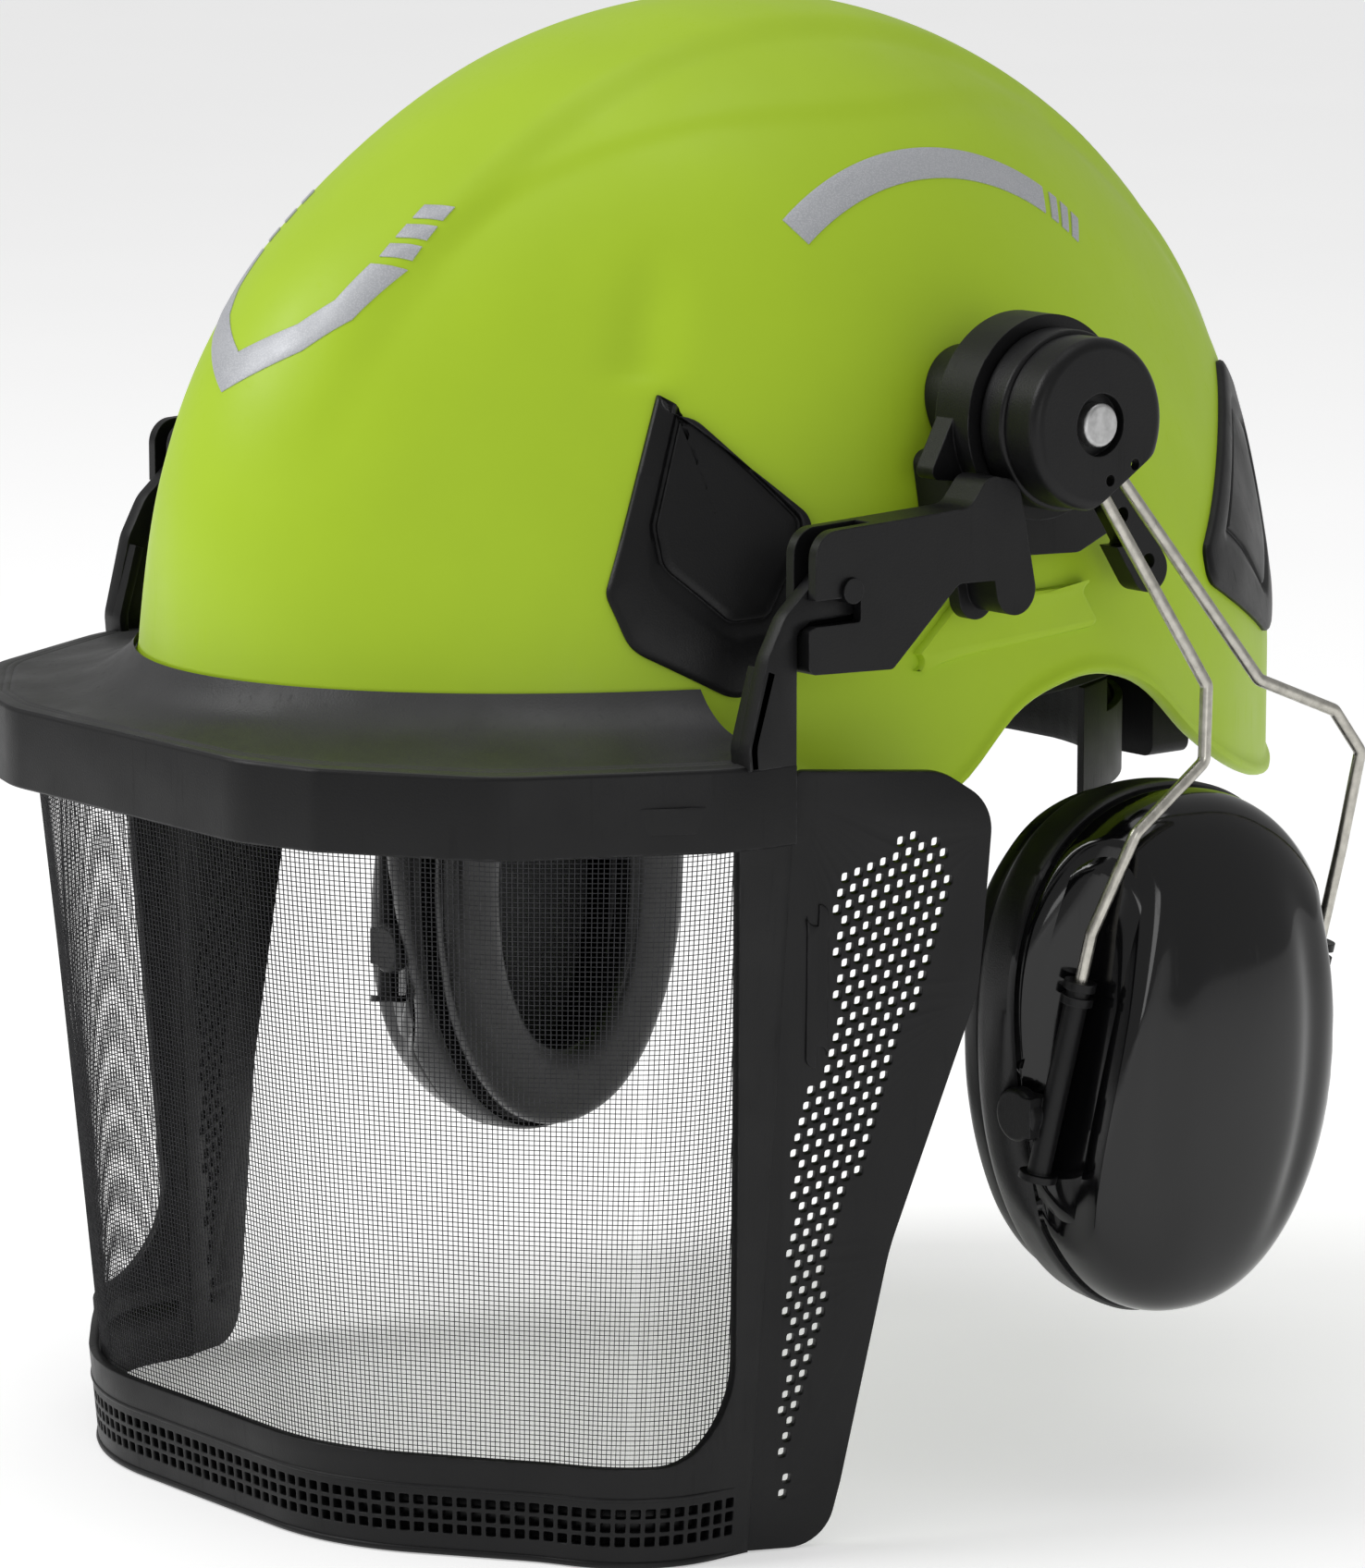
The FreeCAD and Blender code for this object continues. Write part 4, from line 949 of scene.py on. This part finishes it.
# ---------------------------------------------------------------- materials
class Nodes:
    """Small builder of one procedural material."""

    def __init__(self, name):
        self.material = bpy.data.materials.new(name)
        self.material.use_nodes = True
        self.tree = self.material.node_tree
        self.shader = self.tree.nodes["Principled BSDF"]
        self.place = self.add("ShaderNodeTexCoord").outputs["Object"]

    def add(self, kind, **values):
        """New node with its plain properties set."""
        node = self.tree.nodes.new(kind)
        for key, value in values.items():
            setattr(node, key, value)
        return node

    def link(self, source, target):
        """Connect two sockets."""
        self.tree.links.new(source, target)

    def noise(self, scale, detail=4.0, stretch=None):
        """Noise value; stretch squeezes it along the axes."""
        node = self.add("ShaderNodeTexNoise")
        node.inputs["Scale"].default_value = scale
        node.inputs["Detail"].default_value = detail
        place = self.place
        if stretch:
            mapping = self.add("ShaderNodeMapping")
            mapping.inputs["Scale"].default_value = stretch
            self.link(place, mapping.inputs["Vector"])
            place = mapping.outputs["Vector"]
        self.link(place, node.inputs["Vector"])
        return node.outputs["Fac"]

    def ramp(self, value, low, high, out_low, out_high):
        """Value carried from one range to another."""
        node = self.add("ShaderNodeMapRange")
        for key, number in (("From Min", low), ("From Max", high), ("To Min", out_low), ("To Max", out_high)):
            node.inputs[key].default_value = number
        self.link(value, node.inputs["Value"])
        return node.outputs["Result"]

    def mix(self, factor, first, second):
        """Blend of two colours, or of a colour socket and a colour."""
        node = self.add("ShaderNodeMix", data_type="RGBA")
        self.link(factor, node.inputs["Factor"])
        for key, value in (("A", first), ("B", second)):
            socket = next(s for s in node.inputs if s.name == key and s.type == "RGBA")
            if isinstance(value, tuple):
                socket.default_value = (*value, 1)
            else:
                self.link(value, socket)
        return next(s for s in node.outputs if s.type == "RGBA")

    def math(self, operation, first, second):
        """Arithmetic on sockets or numbers."""
        node = self.add("ShaderNodeMath", operation=operation)
        for i, value in enumerate((first, second)):
            if isinstance(value, (int, float)):
                node.inputs[i].default_value = value
            else:
                self.link(value, node.inputs[i])
        return node.outputs[0]

    def relief(self, layers, edge=0.0):
        """Bump from (height, distance, strength) layers, over edges softened by a small radius."""
        normal = None
        if edge:
            soft = self.add("ShaderNodeBevel", samples=4)
            soft.inputs["Radius"].default_value = edge * MM
            normal = soft.outputs["Normal"]
        for height, distance, strength in layers:
            bump = self.add("ShaderNodeBump")
            bump.inputs["Distance"].default_value = distance * MM
            bump.inputs["Strength"].default_value = strength
            self.link(height, bump.inputs["Height"])
            if normal:
                self.link(normal, bump.inputs["Normal"])
            normal = bump.outputs["Normal"]
        self.link(normal, self.shader.inputs["Normal"])


def linear(red, green, blue):
    """Linear colour from sRGB bytes."""
    shares = [value / 255 for value in (red, green, blue)]
    return tuple(((c + 0.055) / 1.055) ** 2.4 if c > 10 / 255 else c / 12.92 for c in shares)


def plastic(name, colour, rough, grain=(2600, 0.05), spread=0.12, worn=None, edge=0.0, blotch=0.06,
            shine=0.25):
    """Moulded plastic: mould grain, uneven gloss, faint colour drift and pale worn edges."""
    n = Nodes(name)
    drift = n.noise(38, 5)
    darker = tuple(c * (1 - blotch) for c in colour)
    lighter = tuple(min(1, c * (1 + blotch)) for c in colour)
    tone = n.mix(n.ramp(drift, 0.3, 0.7, 0, 1), darker, lighter)
    if worn:
        soft = n.add("ShaderNodeBevel", samples=4)
        soft.inputs["Radius"].default_value = 0.5 * MM
        turn = n.add("ShaderNodeVectorMath", operation="DOT_PRODUCT")
        n.link(soft.outputs["Normal"], turn.inputs[0])
        n.link(n.add("ShaderNodeNewGeometry").outputs["Normal"], turn.inputs[1])
        rim = n.ramp(turn.outputs["Value"], 0.99, 0.85, 0, 1)
        wear = n.math("MULTIPLY", rim, n.ramp(n.noise(300, 3), 0.42, 0.66, 0, 0.6))
        tone = n.mix(wear, tone, worn)
    n.link(tone, n.shader.inputs["Base Color"])
    smudge = n.ramp(n.noise(60, 6), 0.3, 0.7, rough - spread / 2, rough + spread / 2)
    scratch = n.ramp(n.noise(700, 2, (1, 1, 0.08)), 0.62, 0.72, 0.0, 0.08)
    n.link(n.math("ADD", smudge, scratch), n.shader.inputs["Roughness"])
    n.shader.inputs["Specular IOR Level"].default_value = shine
    fine = n.noise(grain[0], 3)
    n.relief([(fine, 0.12, grain[1] * 4), (n.noise(90, 2), 0.5, 0.03)], edge)
    return n.material


def metal(name, colour, rough, direction, edge=0.0):
    """Drawn or pressed metal with fine lines and a little tarnish."""
    n = Nodes(name)
    tarnish = n.ramp(n.noise(420, 5), 0.35, 0.7, 0, 1)
    n.link(n.mix(tarnish, colour, tuple(c * 0.72 for c in colour)), n.shader.inputs["Base Color"])
    n.shader.inputs["Metallic"].default_value = 1.0
    lines = n.noise(900, 3, direction)
    n.link(n.ramp(lines, 0.3, 0.7, rough - 0.08, rough + 0.12), n.shader.inputs["Roughness"])
    n.relief([(lines, 0.05, 0.35)], edge)
    return n.material


def reflective(name):
    """Grey retro-reflective film with a fine bead pattern."""
    n = Nodes(name)
    cells = n.add("ShaderNodeTexVoronoi")
    cells.inputs["Scale"].default_value = 2600
    n.link(n.place, cells.inputs["Vector"])
    beads = n.ramp(cells.outputs["Distance"], 0, 0.6, 0, 1)
    tone = n.mix(beads, linear(200, 201, 204), linear(168, 170, 175))
    n.link(n.mix(n.ramp(n.noise(45, 3), 0.35, 0.7, 0, 0.5), tone, linear(182, 184, 188)),
           n.shader.inputs["Base Color"])
    n.shader.inputs["Metallic"].default_value = 0.15
    n.link(n.ramp(n.noise(120, 4), 0.3, 0.7, 0.38, 0.52), n.shader.inputs["Roughness"])
    n.relief([(cells.outputs["Distance"], 0.06, 0.3)])
    return n.material


def webbing(name, colour):
    """Woven polyester: crossing yarns with small colour changes."""
    n = Nodes(name)
    waves = []
    for axis in ("X", "Y"):
        wave = n.add("ShaderNodeTexWave", bands_direction=axis)
        wave.inputs["Scale"].default_value = 260
        wave.inputs["Distortion"].default_value = 0.6
        n.link(n.place, wave.inputs["Vector"])
        waves.append(wave.outputs["Fac"])
    weave = n.math("MAXIMUM", *waves)
    tone = n.mix(weave, tuple(c * 0.5 for c in colour), colour)
    n.link(n.mix(n.ramp(n.noise(150, 4), 0.35, 0.7, 0, 0.4), tone, tuple(c * 0.7 for c in colour)),
           n.shader.inputs["Base Color"])
    n.link(n.ramp(n.noise(500, 3), 0.3, 0.7, 0.72, 0.9), n.shader.inputs["Roughness"])
    n.shader.inputs["Sheen Weight"].default_value = 0.25
    n.relief([(weave, 0.25, 0.8)])
    return n.material


def soft_skin(name, colour, rough, wrinkle, foam=False):
    """Soft skin or open foam: pores, creases and uneven sheen."""
    n = Nodes(name)
    cells = n.add("ShaderNodeTexVoronoi")
    cells.inputs["Scale"].default_value = 1500 if foam else 900
    n.link(n.place, cells.inputs["Vector"])
    pores = n.ramp(cells.outputs["Distance"], 0, 0.5, 0, 1)
    n.link(n.mix(pores, tuple(c * 0.55 for c in colour), colour), n.shader.inputs["Base Color"])
    n.link(n.ramp(n.noise(80, 4), 0.3, 0.7, rough - 0.06, rough + 0.08), n.shader.inputs["Roughness"])
    n.relief([(pores, 0.15, 0.6 if foam else 0.12), (n.noise(220, 4), 0.4, wrinkle)])
    return n.material


def floor_material():
    """Plain pale studio floor."""
    n = Nodes("studio_floor")
    n.link(n.mix(n.noise(4, 3), (0.86, 0.86, 0.86), (0.9, 0.9, 0.9)), n.shader.inputs["Base Color"])
    n.shader.inputs["Roughness"].default_value = 0.9
    n.shader.inputs["Emission Color"].default_value = (1, 1, 1, 1)
    n.shader.inputs["Emission Strength"].default_value = 0.42
    n.relief([(n.noise(500, 3), 0.1, 0.1)])
    return n.material


# ---------------------------------------------------------------- putting it together
def dress(obj, material):
    """Give an object its one material."""
    if obj.data.materials:
        obj.data.materials[0] = material
    else:
        obj.data.materials.append(material)
    obj.material_slots[0].material = material


def finish_piece(obj, body, slot, nodes=(), look=None):
    """Let a piece ride on its body, take its finish and stand for CAD nodes."""
    dress(obj, MATERIALS[look or slot])
    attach(obj, body)
    if nodes:
        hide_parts(*nodes)


def finish_pair(obj, body, slot, node=None, look=None):
    """Finish a left piece and its mirror image; a name ending in _left names the pair."""
    twin = mirrored(obj, obj.name.replace("_left", "_right"))
    for piece, side in ((obj, "left"), (twin, "right")):
        name = body.replace("SIDE", side)
        finish_piece(piece, name, slot, [node + "_" + side] if node else [], look)


LIME = linear(170, 202, 40)
MATERIALS = {
    "shell_plastic": plastic("shell_plastic", LIME, 0.46, (1500, 0.03), 0.1, blotch=0.02, shine=0.3),
    "black_plastic": plastic("black_plastic", linear(13, 13, 14), 0.42, (2400, 0.09), 0.14,
                             linear(70, 70, 72), 0.45),
    # The brim's one black plastic, made a lighter grey for its upward-facing apron: painted light. The rim
    # keeps the darker brim_plastic as painted shade.
    "brim_apron_painted_light": plastic("brim_apron_painted_light", linear(46, 46, 47), 0.5, (1900, 0.12), 0.16, blotch=0.2, shine=0.4),
    "brim_plastic": plastic("brim_plastic", linear(15, 15, 16), 0.46, (2100, 0.1), 0.12, linear(80, 80, 82)),
    "gloss_black": plastic("gloss_black", linear(7, 7, 8), 0.1, (500, 0.0), 0.05, shine=0.45),
    "satin_black": plastic("satin_black", linear(20, 20, 21), 0.34, (2600, 0.16), 0.1, shine=0.35),
    "steel_wire": metal("steel_wire", linear(196, 193, 184), 0.32, (1, 1, 0.05)),
    "rivet_metal": metal("rivet_metal", linear(200, 200, 200), 0.42, (1, 1, 1), 0.3),
    "reflective_film": reflective("reflective_film"),
    "webbing": webbing("webbing", linear(44, 44, 48)),
    "soft_pad": soft_skin("soft_pad", linear(34, 34, 36), 0.8, 0.2, True),
    "cushion_skin": soft_skin("cushion_skin", linear(14, 14, 15), 0.3, 0.12),
    "foam": soft_skin("foam", linear(60, 60, 62), 0.9, 0.2, True),
    "harness_plastic": plastic("harness_plastic", linear(20, 20, 21), 0.48, (1800, 0.1), 0.12, edge=0.4),
    "mesh_metal": metal("mesh_metal", linear(60, 60, 62), 0.5, (1, 1, 1)),
}


def place_cad_materials():
    """Finish for every CAD node that stays in view."""
    for row in frame["record"]["subparts"]:
        dress(frame["nodes"][row["node"]], MATERIALS[row["material_slot"]])


def place_pieces():
    """Make every detailed piece and hang it on its body."""
    finish_piece(make_shell(), "helmet", "shell_plastic", ["shell"])
    finish_pair(make_socket(), "helmet", "shell_plastic")
    front = vent_cover("front_vent_left", FRONT_VENT, FRONT_CHANNEL)
    finish_pair(front, "helmet", "black_plastic", "front_vent_cover")
    rear = vent_cover("rear_vent_left", REAR_VENT, REAR_CHANNEL)
    finish_pair(rear, "helmet", "black_plastic", "rear_vent_cover")
    chevron = film("chevron_film", chevron_strokes(), on_front)
    finish_piece(chevron, "helmet", "reflective_film", ["front_reflective_chevron"])
    finish_pair(film("arc_film_left", arc_strokes(), on_side), "helmet", "reflective_film",
                "side_reflective_arc")
    finish_piece(make_straps(), "helmet", "webbing", ["crown_straps"])
    finish_piece(make_stitches(), "helmet", "webbing", look="soft_pad")
    pad = band_pad("brow_pad", 79.6, 102.6, 4.0, -72, -41, 188.5, 351.5)
    finish_piece(pad, "helmet", "soft_pad", ["sweatband"])
    pad = band_pad("nape_cushion", 77.0, 100.0, 4.0, -98, -78, 50, 130)
    finish_piece(pad, "nape_unit", "soft_pad", ["nape_pad"])
    brim = make_brim()
    # Painted light and shade: the apron takes the lighter grey and the upright rim the darker black, though
    # both are the same plastic.
    finish_piece(brim, "visor", "brim_plastic", ["brim"], "brim_apron_painted_light")
    split_brim_painted_light_and_shade(brim, MATERIALS["brim_plastic"])
    for piece in make_upright():
        finish_pair(piece, "visor", "brim_plastic")
    finish_piece(make_visor_frame(), "visor", "black_plastic", ["visor_frame"])
    finish_piece(make_band_backing(), "visor", "black_plastic")
    for name, z, radius in (("band_line", -232.6, 0.55), ("band_edge", -247.6, 0.8)):
        finish_piece(visor_bead(name, z, radius, VISOR_SPAN / 2 - 3, 0.8), "visor", "black_plastic")
    for piece in make_wing():
        finish_pair(piece, "visor", "black_plastic")
    finish_piece(make_visor_mesh(), "visor", "mesh_metal", ["visor_mesh"])
    finish_pair(make_cup_shell(), "ear_cup_SIDE", "gloss_black", "cup_shell")
    finish_pair(make_cup_back(), "ear_cup_SIDE", "black_plastic", "cup_back", look="satin_black")
    finish_pair(make_ear_cushion(), "ear_cup_SIDE", "cushion_skin",
                "ear_cushion")
    finish_pair(make_cup_foam(), "ear_cup_SIDE", "foam", "cup_foam")


def area_light(name, place, target, size, watts):
    """Soft square light that looks at a point; places are in metres."""
    data = bpy.data.lights.new(name, "AREA")
    data.energy = watts
    data.size = size
    light = bpy.data.objects.new(name, data)
    light.location = place
    light.rotation_euler = (Vector(target) - Vector(place)).to_track_quat("-Z", "Y").to_euler()
    bpy.context.scene.collection.objects.link(light)


def place_studio():
    """Floor, soft light and camera."""
    floor_z = CAD_BOX[0][2] / MM - 0.2
    angles = [2 * math.pi * k / 96 for k in range(96)]
    ring = [(FLOOR_RADIUS * math.cos(a), FLOOR_RADIUS * math.sin(a), floor_z) for a in angles]
    floor = make_object("studio_floor", ring, [tuple(range(96))], False)
    dress(floor, floor_material())
    world = bpy.data.worlds.new("studio")
    world.use_nodes = True
    tree = world.node_tree
    backdrop = tree.nodes.new("ShaderNodeBackground")
    backdrop.inputs["Color"].default_value = (1, 1, 1, 1)
    ambient = tree.nodes["Background"]
    ambient.inputs["Color"].default_value = (1, 1, 1, 1)
    ambient.inputs["Strength"].default_value = 0.42
    rays = tree.nodes.new("ShaderNodeLightPath")
    choice = tree.nodes.new("ShaderNodeMixShader")
    tree.links.new(rays.outputs["Is Camera Ray"], choice.inputs["Fac"])
    tree.links.new(ambient.outputs["Background"], choice.inputs[1])
    tree.links.new(backdrop.outputs["Background"], choice.inputs[2])
    tree.links.new(choice.outputs["Shader"], tree.nodes["World Output"].inputs["Surface"])
    bpy.context.scene.world = world
    area_light("key", (-0.9, -1.5, 1.5), (0, 0, -0.05), 1.0, 24)
    area_light("fill", (1.9, -0.9, 0.3), (0, 0, -0.1), 0.7, 4)
    area_light("top", (0.1, 0.1, 1.9), (0, 0, 0), 1.2, 7)
    camera = bpy.data.objects.new("camera", bpy.data.cameras.new("camera"))
    azimuth, elevation = math.radians(CAMERA_AZIMUTH), math.radians(CAMERA_ELEVATION)
    back = Vector((math.sin(azimuth) * math.cos(elevation), -math.cos(azimuth) * math.cos(elevation),
                   math.sin(elevation)))
    camera.location = Vector(CAMERA_TARGET) + back * CAMERA_DISTANCE
    camera.rotation_euler = back.to_track_quat("Z", "Y").to_euler()
    camera.data.lens = CAMERA_LENS
    camera.data.sensor_width = CAMERA_SENSOR
    camera.data.clip_start = 0.05
    bpy.context.scene.collection.objects.link(camera)
    bpy.context.scene.camera = camera
    bpy.context.scene.view_settings.view_transform = "Standard"


place_cad_materials()
place_pieces()
place_studio()
